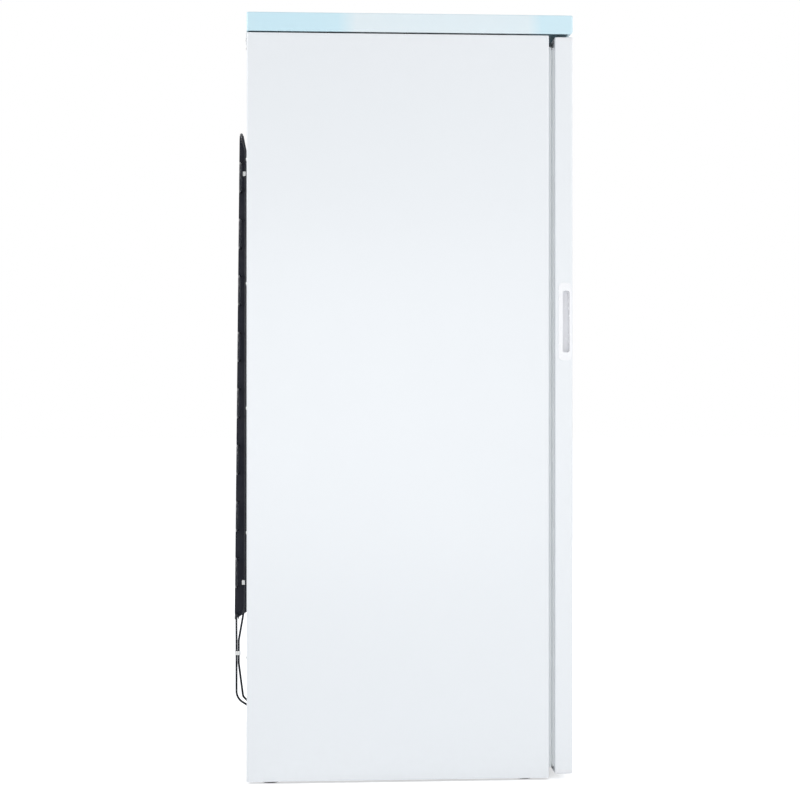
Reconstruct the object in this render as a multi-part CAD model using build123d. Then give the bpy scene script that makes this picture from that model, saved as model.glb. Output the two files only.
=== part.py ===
from build123d import *
import os
from math import atan2, cos, degrees, pi, sin

# A single-door refrigerator with a tube-and-wire condenser on its back.
# Millimetres. +Z is up, the door faces -Y and turns on the +X side. The origin is on the floor,
# at the middle of the width and of the whole depth, condenser included.

# Overall size
total_height = 1450.0
cabinet_width = 600.0
side_depth = 572.0
gasket_gap = 11.0
door_thickness = 34.0
condenser_reach = 25.0
ground_clearance = 4.0

# Worktop
worktop_thickness = 36.0
worktop_overhang = 2.0
worktop_gap = 2.8
worktop_wall = 3.0
worktop_nose_wall = 9.0
worktop_nose_radius = 6.0
worktop_corner_radius = 4.0
worktop_edge_radius = 3.0
worktop_rib = 2.0
worktop_rib_lift = 6.0
worktop_ribs_along = 4
worktop_ribs_across = 3
worktop_pad_radius = 12.0
worktop_pad_inset_x = 100.0
worktop_pad_inset_y = 70.0

# Tubes and wires are drawn with flat sides
tube_sides = 8
thin_tube_sides = 6
edge_margin = 1.0

# Folded steel of the cabinet
sheet = 0.8
bend_radius = 4.0
front_flange = 30.0
rear_flange = 15.0
top_rail_height = 38.0
bottom_rail_height = 43.0
rail_lip = 20.0

# Insulated walls and the cold space
side_wall = 38.0
ceiling_wall = 45.0
back_wall = 40.0
floor_level = 60.0
floor_underside = 30.0
partition_wall = 33.0
liner_wall = 1.5
cavity_bend = 20.0
cavity_corner = 10.0

# Compressor space at the lower rear
machine_roof = 215.0
machine_depth_foot = 205.0
machine_depth_head = 165.0

# Shelf ledges moulded in the liner
ledge_depth = 10.0
ledge_height = 12.0
ledge_lip = 2.0
ledge_head_gap = 55.0
ledge_levels = 10
ledge_front_inset = 6.0
ledge_back_inset = 40.0

# Glass shelves
glass = 4.0
glass_side_gap = 4.0
shelf_front_setback = 126.0
shelf_back_gap = 6.0
glass_corner = 20.0
shelf_count = 3
ledges_per_shelf = 3
shelf_trim_height = 16.0
shelf_trim_depth = 12.0
shelf_trim_radius = 4.0
shelf_trim_overlap = 8.0

# Crisper
crisper_side_gap = 12.0
crisper_front_gap = 21.0
crisper_floor_gap = 0.4
crisper_height = 172.0
crisper_back_gap = 12.0
crisper_wall = 2.4
crisper_radius = 10.0
crisper_grip_depth = 14.0
crisper_grip_height = 10.0
crisper_grip_half_width = 130.0
crisper_cover_lift = 4.0

# Door
door_bottom = 11.0
door_top_gap = 5.0
door_edge_radius = 3.0
door_cap_height = 8.0
door_cap_radius = 2.5
door_liner_wall = 1.2
door_rear_flange = 15.0
plug_side_gap = 6.0
plug_panel_depth = 15.0
plug_dyke_depth = 47.0
plug_dyke_width = 30.0
plug_radius = 10.0
plug_recess_radius = 8.0

# Door seal
gasket_side_inset = 14.0
gasket_foot_inset = 10.0
gasket_head_inset = 17.0
gasket_width = 18.0
gasket_clearance = 0.3
gasket_neck = 3.0
gasket_neck_inset = 5.0
gasket_bulge = 3.6
gasket_bulge_inset = 1.5
gasket_round = 1.2

# Grip cup in the door's free edge
grip_height = 148.0
grip_width = 25.0
grip_level = 869.0
grip_front_inset = 2.5
grip_flange = 1.2
grip_pocket_height = 117.0
grip_pocket_width = 13.0
grip_pocket_depth = 18.0
grip_pocket_front_inset = 6.2
grip_wall = 1.5

# Hinges
hinge_inset = 12.0
hinge_setback = 18.0
pin_radius = 4.0
running_clearance = 0.05
pin_length = 14.0
bush_radius = 7.0
bush_length = 16.0
hinge_plate = 2.5
hinge_plate_width = 56.0
hinge_plate_tail = 52.0
bottom_hinge_flange = 13.0
bottom_hinge_drop = 5.0
bush_collar_radius = 8.0

# Door racks
rack_side_gap = 6.0
rack_wall = 2.2
rack_reach = 112.0
egg_rack_reach = 74.0
rack_gap = 0.3
rack_corner = 16.0
rack_foot_gap = 12.0
egg_rack_drop = 108.2
rack_heights = (110.0, 78.0, 78.0, 52.0)
rack_lug_width = 16.0
rack_lug_height = 8.0
rack_lug_inset = 4.0
rack_slot_height = 10.0
rack_slot_margin = 40.0

# Base
channel_width = 40.0
channel_wall = 2.0
channel_foot_level = 10.0
foot_radius = 19.0
foot_pad_height = 8.0
foot_pad_chamfer = 2.0
foot_stud_radius = 4.0
foot_collar_radius = 7.0
foot_setback = 45.0
foot_inset = 27.0
foot_running_gap = 0.3
weld_nut_radius = 8.0
weld_nut_height = 7.0
carrier_plate = 2.0
carrier_lip = 12.0
carrier_depth = 140.0
carrier_rear_gap = 6.0

# Icebox
icebox_side_gap = 12.0
icebox_height = 150.0
icebox_wall = 1.6
icebox_roof_gap = 10.0
icebox_rear_gap = 10.0
icebox_front_setback = 226.0
icebox_corner = 14.0
icebox_ridge = 2.2
icebox_ridges = 5
icebox_hanger_radius = 5.0
icebox_hanger_inset = 50.0
collar_wall = 9.0
collar_depth = 16.0
flap_gap = 1.2
flap_thickness = 9.0
flap_top_radius = 4.4
flap_side_gap = 3.0
flap_pin_radius = 2.5
flap_pin_drop = 8.0
flap_grip_width = 60.0
flap_grip_depth = 12.0
flap_grip_height = 8.0
ear_thickness = 5.0

# Thermostat and lamp housing
housing_depth = 36.0
housing_length = 245.0
housing_height = 76.0
housing_drop = 43.2
housing_front_setback = 51.0
housing_wall = 2.0
housing_radius = 6.0
knob_radius = 22.0
knob_depth = 14.0
knob_gap = 0.4
knob_shaft_radius = 3.0
knob_front_setback = 146.0
knob_notches = 12
knob_notch_radius = 1.8
pointer_length = 17.6
pointer_half_width = 1.4
pointer_rise = 0.8
lamp_window_length = 70.0
lamp_window_height = 52.0
lamp_window_end = 20.0
lamp_cover_wall = 1.6
lamp_cover_stand = 5.0
lamp_cover_ribs = 6
bulb_radius = 11.0
bulb_neck_radius = 6.0
bulb_length = 42.0
holder_radius = 10.0
holder_length = 14.0
plunger_radius = 2.5
plunger_head_radius = 3.5
plunger_head = 4.0
plunger_chamfer = 1.0
plunger_travel = 8.0
plunger_gap = 0.3
plunger_inset = 18.0

# Condenser
pass_radius = 2.4
pass_count = 18
pass_pitch = 54.4
condenser_top = 1229.4
condenser_half_width = 245.0
condenser_lean = 9.4
wire_radius = 0.75
wires_per_face = 21
wire_pitch = 20.0
wire_head = 3.0
wire_foot = 9.0
wire_seat = 0.02
strip_offset = 208.0
strip_sheet = 1.0
strip_flange = 12.0
strip_seat = 0.3
strip_head_gap = 6.0
strip_head_slope = 30.0
strip_foot_slope = 16.0
clip_half_width = 4.0
clip_depth = 5.6
clip_height = 8.0
clip_levels = (1153.0, 370.0)

# Tubes of the refrigeration circuit
line_radius = 2.0
line_bend = 12.0
riser_offset = 228.0
riser_wall_gap = 1.0
riser_lean = 2.0
riser_head_drop = 34.0
riser_foot_level = 326.0
hot_gas_lean_level = 215.0
hot_gas_turn_level = 150.0
hot_gas_turn_reach = 8.5
hot_gas_turn_shift = 8.0
hot_gas_entry_level = 122.0
hot_gas_entry_depth = 18.0
hot_gas_run_depth = 30.0
hot_gas_run_shift = 48.0
outlet_turn_level = 148.0
outlet_bend = 25.0
outlet_entry_depth = 30.0
tie_level = 235.0
tie_height = 7.5
tie_wall = 1.2
tie_gap = 0.3
strand_gap = 0.3
strand_reach = 22.9
suction_radius = 3.2
capillary_radius = 1.0
capillary_loop_radius = 24.0
capillary_loops = 6
capillary_pitch = 3.2
capillary_lead = 14.0
capillary_exit = 16.0
roof_entry = 20.0
drier_radius = 9.5
drier_length = 96.0
drier_cone = 12.0
drier_level = 116.0
drier_setback = 36.0

# Compressor
compressor_x = 60.0
compressor_setback = 84.0
compressor_half_length = 85.0
compressor_half_depth = 68.0
compressor_split = 104.0
compressor_top = 170.0
compressor_foot = 40.0
compressor_step = 1.0
compressor_rim = 3.0
compressor_rim_height = 3.0
compressor_foot_radius = 22.0
compressor_dome_radius = 40.0
compressor_plate = 4.0
compressor_plate_half_length = 96.0
compressor_plate_half_depth = 60.0
port_level = 128.0
port_share = 0.5
mount_inset = 14.0
mount_radius = 12.0
mount_waist_radius = 8.0
mount_bolt_radius = 3.0
mount_bead = 6.0
mount_taper = 1.0
mount_nut_radius = 5.5
mount_nut_height = 4.0
relay_length = 40.0
relay_depth = 62.0
relay_height = 54.0
relay_level = 78.0
relay_corner = 5.0
relay_bite = 20.0
gland_radius = 8.0
gland_bore = 4.0
gland_length = 10.0
gland_flange_radius = 11.0
gland_flange = 2.5
tray_half_length = 86.0
tray_half_depth = 66.0
tray_height = 24.0
tray_wall = 1.8
tray_level = 178.0
tray_corner = 14.0
tray_pad_radius = 30.0
tray_seat = 0.3
drain_radius = 8.0
drain_wall = 1.5
drain_x = 40.0
drain_setback = 62.0
drain_stub = 10.0
process_level = 120.0
process_length = 38.0

# Rear worktop brackets
bracket_sheet = 1.2
bracket_width = 30.0
bracket_drop = 22.0
bracket_tongue = 26.0
bracket_inset = 20.0

# Planes worked out from the sizes above
total_depth = door_thickness + gasket_gap + side_depth + condenser_reach
half_width = cabinet_width / 2
door_front = -total_depth / 2
door_back = door_front + door_thickness
cabinet_front = door_back + gasket_gap
cabinet_back = cabinet_front + side_depth
cabinet_middle = (cabinet_front + cabinet_back) / 2
door_middle = (door_front + door_back) / 2
worktop_bottom = total_height - worktop_thickness
cabinet_top = worktop_bottom - worktop_gap
cabinet_bottom = ground_clearance
door_top = worktop_bottom - door_top_gap
interior_half = half_width - side_wall
ceiling_level = cabinet_top - ceiling_wall
cavity_back = cabinet_back - back_wall
step_level = machine_roof + partition_wall
bottom_rail_top = cabinet_bottom + bottom_rail_height
top_rail_foot = cabinet_top - top_rail_height
flange_half = half_width - front_flange
hinge_x = half_width - hinge_inset
hinge_y = door_front + hinge_setback
shelf_front = cabinet_front + shelf_front_setback
icebox_top = ceiling_level - icebox_roof_gap
icebox_half_width = interior_half - icebox_side_gap
crisper_half_width = interior_half - crisper_side_gap
housing_level = icebox_top - icebox_height - housing_drop - housing_height
lowest_ledge = step_level + crisper_cover_lift
ledge_pitch = (housing_level - ledge_head_gap - lowest_ledge) / ledge_levels
plug_half_width = interior_half - plug_side_gap
plug_low = floor_level + plug_side_gap
plug_high = ceiling_level - plug_side_gap
rack_count = len(rack_heights)
rack_half_width = plug_half_width - plug_dyke_width - rack_side_gap
lowest_rack = plug_low + plug_dyke_width + rack_foot_gap
highest_rack = plug_high - plug_dyke_width - egg_rack_drop
rack_pitch = (highest_rack - lowest_rack) / (rack_count - 1)


def block(x_low, x_high, y_low, y_high, z_low, z_high):
    """A box between two corners."""
    centre = Pos((x_low + x_high) / 2, (y_low + y_high) / 2, (z_low + z_high) / 2)
    return centre * Box(x_high - x_low, y_high - y_low, z_high - z_low)


def cylinder_z(x, y, radius, z_low, z_high):
    """An upright round bar."""
    return Pos(x, y, (z_low + z_high) / 2) * Cylinder(radius, z_high - z_low)


def cylinder_x(y, z, radius, x_low, x_high):
    """A round bar along X."""
    return Pos((x_low + x_high) / 2, y, z) * Rot(0, 90, 0) * Cylinder(radius, x_high - x_low)


def cylinder_y(x, z, radius, y_low, y_high):
    """A round bar along Y."""
    return Pos(x, (y_low + y_high) / 2, z) * Rot(90, 0, 0) * Cylinder(radius, y_high - y_low)


def side_profile(points, x_low, x_high):
    """A (y, z) outline run across the object from x_low to x_high."""
    face = Plane.YZ.offset(x_low) * make_face(Polyline(*points, close=True))
    return extrude(face, amount=x_high - x_low)


def front_profile(points, y_low, y_high):
    """An (x, z) outline run from y_low to y_high."""
    face = Plane.XZ.offset(-y_low) * make_face(Polyline(*points, close=True))
    return extrude(face, amount=y_low - y_high)


def tube(points, radius, bend):
    """A tube along straight runs joined by tangent arcs, its corners on the radius."""
    path = FilletPolyline(*points, radius=bend)
    section = Plane(origin=path @ 0, z_dir=path % 0) * RegularPolygon(radius, tube_sides)
    return sweep(section, path=path)


def mirrored(solid):
    """The same piece on the other side of the object."""
    return mirror(solid, about=Plane.YZ)


def pair(solid):
    """A piece and its mirror image as one group."""
    return Compound(list(solid.solids()) + list(mirrored(solid).solids()))


def cabinet_plan(inset, z_low, z_high):
    """The cabinet's plan with rounded corners, as a solid between two levels."""
    plan = RectangleRounded(cabinet_width - 2 * inset, side_depth - 2 * inset, bend_radius - inset)
    return extrude(Pos(0, cabinet_middle, z_low) * plan, amount=z_high - z_low)


def skin(x_low, x_high, y_low, y_high, z_low, z_high):
    """A stretch of the cabinet's folded sheet."""
    ring = cabinet_plan(0, z_low, z_high) - cabinet_plan(sheet, z_low, z_high)
    return ring & block(x_low, x_high, y_low, y_high, z_low, z_high)


# Cabinet shell

def side_panel_left():
    """One folded side, with a wide flange for the seal and a narrow one behind."""
    flank = skin(-half_width, -half_width + rear_flange, cabinet_front, cabinet_back,
                 cabinet_bottom, cabinet_top)
    flange = skin(-half_width, -flange_half, cabinet_front, cabinet_middle, cabinet_bottom, cabinet_top)
    return flank + flange


def top_panel():
    """The flat sheet that closes the cabinet under the worktop."""
    return cabinet_plan(sheet, cabinet_top - sheet, cabinet_top)


def front_rail(z_low, z_high, lip_level):
    """A steel face for the seal between the side flanges, with a stiffening lip."""
    face = skin(-flange_half, flange_half, cabinet_front, cabinet_middle, z_low, z_high)
    lip = block(-flange_half, flange_half, cabinet_front + sheet, cabinet_front + rail_lip,
                lip_level, lip_level + sheet)
    return face + lip


def top_front_rail():
    return front_rail(top_rail_foot, cabinet_top, cabinet_top - 2 * sheet)


def bottom_front_rail():
    return front_rail(cabinet_bottom, bottom_rail_top, cabinet_bottom)


def back_panel():
    """The flat rear sheet between the side panels' flanges, down to the compressor space's roof."""
    width = half_width - rear_flange
    return skin(-width, width, cabinet_middle, cabinet_back, machine_roof - sheet, cabinet_top - sheet)


def partition_outline(shift):
    """The (y, z) line of the foam's underside, moved out by shift, from the front to the back."""
    return [
        (cabinet_front + sheet, floor_underside - shift),
        (cabinet_back - machine_depth_foot + shift, floor_underside - shift),
        (cabinet_back - machine_depth_head + shift, machine_roof - shift),
        (cabinet_back - sheet, machine_roof - shift),
    ]


def underside_pan():
    """One bent sheet: the floor, the partition and the roof of the compressor space."""
    points = partition_outline(0) + partition_outline(sheet)[::-1]
    pan = side_profile(points, -half_width + sheet, half_width - sheet)
    pan = pan & cabinet_plan(sheet, cabinet_bottom, cabinet_top)
    return pan - drain_bore() - suction_bore() - capillary_bore()


def cavity(growth):
    """The cold space as a solid, grown outwards by growth."""
    foot = cabinet_back - machine_depth_foot - partition_wall
    head = cabinet_back - machine_depth_head - partition_wall
    points = [
        (cabinet_front, floor_level),
        (foot, floor_level),
        (head, step_level),
        (cavity_back, step_level),
        (cavity_back, ceiling_level),
        (cabinet_front, ceiling_level),
    ]
    face = make_face(Polyline(*points, close=True))
    inner_bends = face.vertices().filter_by(lambda vertex: vertex.X > cabinet_front + edge_margin)
    face = offset(fillet(inner_bends, cavity_bend), growth)
    half = interior_half + growth
    solid = extrude(Plane.YZ.offset(-half) * face, amount=2 * half)
    rims = solid.edges().filter_by(lambda edge: abs(edge.center().X) > half - edge_margin)
    rims = rims.filter_by(lambda edge: edge.center().Y > cabinet_front + edge_margin)
    solid = fillet(rims, cavity_corner + growth)
    return solid & block(-half_width, half_width, cabinet_front, cabinet_back, cabinet_bottom, cabinet_top)


def liner_flange():
    """The liner's plain frame round the opening, level with the steel flanges."""
    return block(-flange_half, flange_half, cabinet_front, cabinet_front + liner_wall,
                 bottom_rail_top, top_rail_foot)


def ledge_level(index):
    """The seat height of a pair of shelf ledges, counted from 0 at the crisper's cover."""
    return lowest_ledge + index * ledge_pitch


def ledge(level):
    """A ledge on the left wall, flat on top and sloped beneath."""
    wall = -interior_half - liner_wall / 2
    points = [
        (wall, level),
        (-interior_half + ledge_depth, level),
        (-interior_half + ledge_depth, level - ledge_lip),
        (wall, level - ledge_height),
    ]
    return front_profile(points, shelf_front + ledge_front_inset, cavity_back - ledge_back_inset)


def ledges():
    """Both rows of ledges, trimmed to the liner."""
    rails = ledge(ledge_level(0))
    for index in range(1, ledge_levels + 1):
        rails = rails + ledge(ledge_level(index))
    rails = rails + mirrored(rails)
    return rails & cavity(liner_wall / 2)


def inner_liner():
    """The thermoformed liner: a thin skin, its front frame and its ledges."""
    shell = cavity(liner_wall) + liner_flange() - cavity(0)
    return shell + ledges() - drain_bore()


def cabinet_foam():
    """The poured foam between the liner and the sheets."""
    outline = partition_outline(0) + [
        (cabinet_back - sheet, cabinet_top - sheet),
        (cabinet_front + sheet, cabinet_top - sheet),
    ]
    body = side_profile(outline, -half_width + sheet, half_width - sheet)
    body = body & cabinet_plan(sheet, cabinet_bottom, cabinet_top)
    body = body - cavity(liner_wall) - liner_flange()
    body = body - top_front_rail() - bottom_front_rail()
    return body - drain_bore() - suction_bore() - capillary_bore()


# Worktop

def worktop():
    """A hollow moulded cover, ribbed beneath, that stands on six pads."""
    half = half_width + worktop_overhang
    length = cabinet_back - door_front
    plan = RectangleRounded(2 * half, length, worktop_corner_radius)
    cover = extrude(Pos(0, (door_front + cabinet_back) / 2, worktop_bottom) * plan, amount=worktop_thickness)
    cover = fillet(cover.edges().group_by(Axis.Z)[-1], worktop_edge_radius)
    nose_y = door_front + worktop_nose_radius
    nose_z = worktop_bottom + worktop_nose_radius
    nose = block(-half, half, door_front, nose_y, worktop_bottom, nose_z)
    cover = cover - (nose - cylinder_x(nose_y, nose_z, worktop_nose_radius, -half, half))
    inner_half = half - worktop_wall
    inner_front = door_front + worktop_nose_wall
    inner_back = cabinet_back - worktop_wall
    inner_top = total_height - worktop_wall
    cover = cover - block(-inner_half, inner_half, inner_front, inner_back, worktop_bottom, inner_top)
    rib_foot = worktop_bottom + worktop_rib_lift
    half_rib = worktop_rib / 2
    for index in range(1, worktop_ribs_along + 1):
        x = -inner_half + 2 * inner_half * index / (worktop_ribs_along + 1)
        cover = cover + block(x - half_rib, x + half_rib, inner_front, inner_back, rib_foot, inner_top)
    for index in range(1, worktop_ribs_across + 1):
        y = inner_front + (inner_back - inner_front) * index / (worktop_ribs_across + 1)
        cover = cover + block(-inner_half, inner_half, y - half_rib, y + half_rib, rib_foot, inner_top)
    for x in (-half_width + worktop_pad_inset_x, 0, half_width - worktop_pad_inset_x):
        for y in (cabinet_front + worktop_pad_inset_y, cabinet_back - worktop_pad_inset_y):
            cover = cover + cylinder_z(x, y, worktop_pad_radius, cabinet_top, inner_top)
    return cover


def worktop_brackets():
    """Two angles that hold the worktop down at the back."""
    x_low = -half_width + bracket_inset
    x_high = x_low + bracket_width
    leg = block(x_low, x_high, cabinet_back, cabinet_back + bracket_sheet,
                worktop_bottom - bracket_drop, worktop_bottom)
    tongue = block(x_low, x_high, cabinet_back - bracket_tongue, cabinet_back,
                   worktop_bottom - bracket_sheet, worktop_bottom)
    return pair(leg + tongue)


# Base

def base_channels():
    """A steel channel under each side, open towards the middle, with a weld nut in front."""
    outer = -half_width + sheet
    inner = outer + channel_width
    top = floor_underside - sheet
    front = cabinet_front + rail_lip
    back = cabinet_back - bend_radius
    channel = block(outer, inner, front, back, channel_foot_level, top)
    channel = channel - block(outer + channel_wall, inner, front, back,
                              channel_foot_level + channel_wall, top - channel_wall)
    nut_foot = channel_foot_level + channel_wall
    nut = cylinder_z(-half_width + foot_inset, cabinet_front + foot_setback, weld_nut_radius,
                     nut_foot, nut_foot + weld_nut_height)
    bore = cylinder_z(-half_width + foot_inset, cabinet_front + foot_setback,
                      foot_stud_radius + running_clearance, channel_foot_level, nut_foot + weld_nut_height)
    return pair(channel + nut - bore)


def levelling_foot_left():
    """A round pad on a threaded stud."""
    x = -half_width + foot_inset
    y = cabinet_front + foot_setback
    pad = cylinder_z(x, y, foot_radius, 0, foot_pad_height)
    pad = chamfer(pad.edges().group_by(Axis.Z)[-1], foot_pad_chamfer)
    collar = cylinder_z(x, y, foot_collar_radius, foot_pad_height, channel_foot_level - foot_running_gap)
    stud_top = channel_foot_level + channel_wall + weld_nut_height + channel_wall
    stud = cylinder_z(x, y, foot_stud_radius, foot_pad_height, stud_top)
    return pad + collar + stud


def rear_feet():
    """Two fixed pads under the rear ends of the channels."""
    x = -half_width + foot_inset
    y = cabinet_back - foot_setback
    return pair(cylinder_z(x, y, foot_radius, 0, channel_foot_level))


def carrier_front():
    return cabinet_back - carrier_rear_gap - carrier_depth


def compressor_carrier():
    """The cross plate that carries the compressor, with two stiffening lips and four nutted studs."""
    half = half_width - sheet - channel_wall
    base = channel_foot_level + channel_wall
    back = cabinet_back - carrier_rear_gap
    plate = block(-half, half, carrier_front(), back, base, base + carrier_plate)
    lip_half = half - channel_width
    for y in (carrier_front(), back - carrier_plate):
        plate = plate + block(-lip_half, lip_half, y, y + carrier_plate, base, base + carrier_lip)
    nut_foot = compressor_foot
    for x, y in mount_places():
        plate = plate + cylinder_z(x, y, mount_bolt_radius, base, nut_foot + mount_nut_height)
        nut = Pos(x, y, nut_foot) * RegularPolygon(mount_nut_radius, 6)
        plate = plate + extrude(nut, amount=mount_nut_height)
    return plate


# Hinges

def top_hinge():
    """A plate on the cabinet's top that reaches out over the door, with its pin."""
    x_high = half_width - worktop_wall
    plate = block(x_high - hinge_plate_width, x_high, hinge_y, cabinet_front + hinge_plate_tail,
                  cabinet_top, cabinet_top + hinge_plate)
    nose = cylinder_z(hinge_x, hinge_y, x_high - hinge_x, cabinet_top, cabinet_top + hinge_plate)
    plate = plate - block(x_high - hinge_plate_width, hinge_x - (x_high - hinge_x), hinge_y,
                          cabinet_front - gasket_gap / 2, cabinet_top, cabinet_top + hinge_plate)
    pin = cylinder_z(hinge_x, hinge_y, pin_radius, door_top - pin_length, cabinet_top)
    return plate + nose + pin


def bottom_hinge():
    """An angle on the bottom rail with an upward pin."""
    level = cabinet_bottom + bottom_hinge_drop / 2
    x_high = half_width - worktop_wall
    x_low = x_high - hinge_plate_width
    upright = block(x_low, x_high, cabinet_front - hinge_plate, cabinet_front,
                    level, level + bottom_hinge_flange)
    reach = x_high - hinge_x
    shelf = block(hinge_x - reach, x_high, hinge_y, cabinet_front - hinge_plate, level, level + hinge_plate)
    nose = cylinder_z(hinge_x, hinge_y, reach, level, level + hinge_plate)
    pin = cylinder_z(hinge_x, hinge_y, pin_radius, level, door_bottom + pin_length)
    return upright + shelf + nose + pin


def bottom_hinge_top():
    return cabinet_bottom + bottom_hinge_drop / 2 + hinge_plate


# Door

def door_plan(inset, z_low, z_high):
    """The door's plan with rounded edges, as a solid between two levels."""
    plan = RectangleRounded(cabinet_width - 2 * inset, door_thickness - 2 * inset, door_edge_radius - inset)
    return extrude(Pos(0, door_middle, z_low) * plan, amount=z_high - z_low)


def door_outer_panel():
    """The folded steel front, with its side edges and rear flanges."""
    low = door_bottom + door_cap_height
    high = door_top - door_cap_height
    panel = door_plan(0, low, high) - door_plan(sheet, low, high)
    width = half_width - door_rear_flange
    panel = panel - block(-width, width, door_middle, door_back, low, high)
    return panel - grip_opening()


def door_cap(z_low, z_high, outer_group, bush_low, bush_high):
    """An end cap: solid, rounded on its outer face, bored for the hinge bush."""
    cap = door_plan(0, z_low, z_high)
    cap = fillet(cap.edges().group_by(Axis.Z)[outer_group], door_cap_radius)
    return cap - cylinder_z(hinge_x, hinge_y, bush_radius, bush_low, bush_high)


def door_top_cap():
    return door_cap(door_top - door_cap_height, door_top, -1, door_top - door_cap_height, door_top)


def door_bottom_cap():
    return door_cap(door_bottom, door_bottom + door_cap_height, 0, door_bottom, door_bottom + door_cap_height)


def hinge_bush(z_low, z_high):
    """A plain bush round one hinge pin."""
    bush = cylinder_z(hinge_x, hinge_y, bush_radius, z_low, z_high)
    return bush - cylinder_z(hinge_x, hinge_y, pin_radius + running_clearance, z_low, z_high)


def hinge_bushes():
    """The two nylon bushes; the lower one has a collar that the door stands on."""
    bottom = hinge_bush(door_bottom, door_bottom + bush_length)
    bore = pin_radius + running_clearance
    collar = cylinder_z(hinge_x, hinge_y, bush_collar_radius, bottom_hinge_top(), door_bottom)
    collar = collar - cylinder_z(hinge_x, hinge_y, bore, bottom_hinge_top(), door_bottom)
    top = hinge_bush(door_top - bush_length, door_top)
    return Compound(list((bottom + collar).solids()) + list(top.solids()))


def door_plug(shrink):
    """The door liner's raised form: a dyke round a shallow panel, shrunk by shrink."""
    half = plug_half_width
    rear = door_back + plug_dyke_depth
    outer = block(-half + shrink, half - shrink, door_back - door_edge_radius, rear - shrink,
                  plug_low + shrink, plug_high - shrink)
    outer = fillet(outer.edges().filter_by(Axis.Y), plug_radius - shrink)
    outer = fillet(outer.edges().group_by(Axis.Y)[-1], plug_radius - shrink)
    inner_half = half - plug_dyke_width + shrink
    panel = door_back + plug_panel_depth - shrink
    recess = block(-inner_half, inner_half, panel, rear + plug_radius,
                   plug_low + plug_dyke_width - shrink, plug_high - plug_dyke_width + shrink)
    recess = fillet(recess.edges().filter_by(Axis.Y), plug_recess_radius + shrink)
    recess = fillet(recess.edges().group_by(Axis.Y)[0], plug_recess_radius + shrink)
    return outer - recess


def door_liner_flange():
    """The flat rim of the door liner between the panel's rear flanges."""
    width = half_width - door_rear_flange
    return block(-width, width, door_back - door_liner_wall, door_back,
                 door_bottom + door_cap_height, door_top - door_cap_height)


def rack_level(index):
    """The floor of one rack, counted from 0 at the foot of the door."""
    return lowest_rack + index * rack_pitch


def rack_lugs():
    """Pegs on the dyke that each rack rests on."""
    lugs = []
    wall = plug_half_width - plug_dyke_width
    front = door_back + plug_panel_depth + rack_lug_inset
    back = door_back + plug_dyke_depth - plug_radius - rack_lug_inset
    for index in range(rack_count):
        level = rack_level(index)
        lug = block(-wall - door_liner_wall / 2, -wall + rack_lug_width, front, back,
                    level - rack_lug_height, level)
        lugs += [lug, mirrored(lug)]
    return lugs


def door_liner():
    """The thermoformed inside of the door, one thin skin with its rack lugs."""
    behind = block(-half_width, half_width, door_back - door_liner_wall, cabinet_back, 0, total_height)
    body = door_liner_flange() + (door_plug(0) & behind)
    for lug in rack_lugs():
        body = body + lug
    return body - door_plug(door_liner_wall)


def door_foam():
    """The foam between the door's panel and its liner."""
    low = door_bottom + door_cap_height
    high = door_top - door_cap_height
    body = door_plan(sheet, low, high) - door_liner_flange()
    body = body + door_plug(door_liner_wall)
    body = body - grip_pocket(grip_wall)
    for z_low, z_high in ((low, door_bottom + bush_length), (door_top - bush_length, high)):
        body = body - cylinder_z(hinge_x, hinge_y, bush_radius, z_low, z_high)
    return body


def grip_pocket(growth):
    """The finger pocket in the door's free edge, grown by growth."""
    front = door_front + grip_pocket_front_inset - growth
    back = front + grip_pocket_width + 2 * growth
    low = grip_level - grip_pocket_height / 2 - growth
    high = grip_level + grip_pocket_height / 2 + growth
    depth = -half_width + grip_pocket_depth + growth
    pocket = block(-half_width - 2 * grip_flange, depth, front, back, low, high)
    return fillet(pocket.edges().filter_by(Axis.X), grip_pocket_width / 3 + growth)


def grip_opening():
    """The hole in the steel that the cup's walls pass through."""
    return grip_pocket(grip_wall)


def grip_cup():
    """The moulded cup: a rounded flange and a pocket with a rolled far end."""
    front = door_front + grip_front_inset
    low = grip_level - grip_height / 2
    flange = block(-half_width - grip_flange, -half_width, front, front + grip_width, low, low + grip_height)
    flange = fillet(flange.edges().filter_by(Axis.X), grip_width / 3)
    flange = fillet(flange.edges().group_by(Axis.X)[0], grip_flange / 2)
    walls = grip_pocket(grip_wall) & block(-half_width, 0, door_front, door_back, 0, total_height)
    return flange + walls - grip_pocket(0)


def seal_frame(inset_low, inset_high, y_low, y_high):
    """One step of the seal: a rectangular frame between two insets from its outer edge."""
    half = half_width - gasket_side_inset
    low = door_bottom + gasket_foot_inset
    high = door_top - gasket_head_inset
    outer = block(-half + inset_low, half - inset_low, y_low, y_high, low + inset_low, high - inset_low)
    inner = block(-half + inset_high, half - inset_high, y_low, y_high, low + inset_high, high - inset_high)
    return outer - inner


def door_gasket():
    """The seal: a neck on the door, a bellows bulge and the magnet's sleeve."""
    neck_top = door_back + gasket_neck
    bulge_top = neck_top + gasket_bulge
    face = cabinet_front - gasket_clearance
    neck = seal_frame(gasket_neck_inset, gasket_width - gasket_neck_inset, door_back, neck_top)
    bulge = seal_frame(gasket_bulge_inset, gasket_width - gasket_bulge_inset, neck_top, bulge_top)
    long_edges = bulge.edges().filter_by(lambda edge: edge.length > gasket_width)
    bulge = chamfer(long_edges, gasket_round)
    sleeve = seal_frame(0, gasket_width, bulge_top, face)
    return neck + bulge + sleeve


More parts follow.
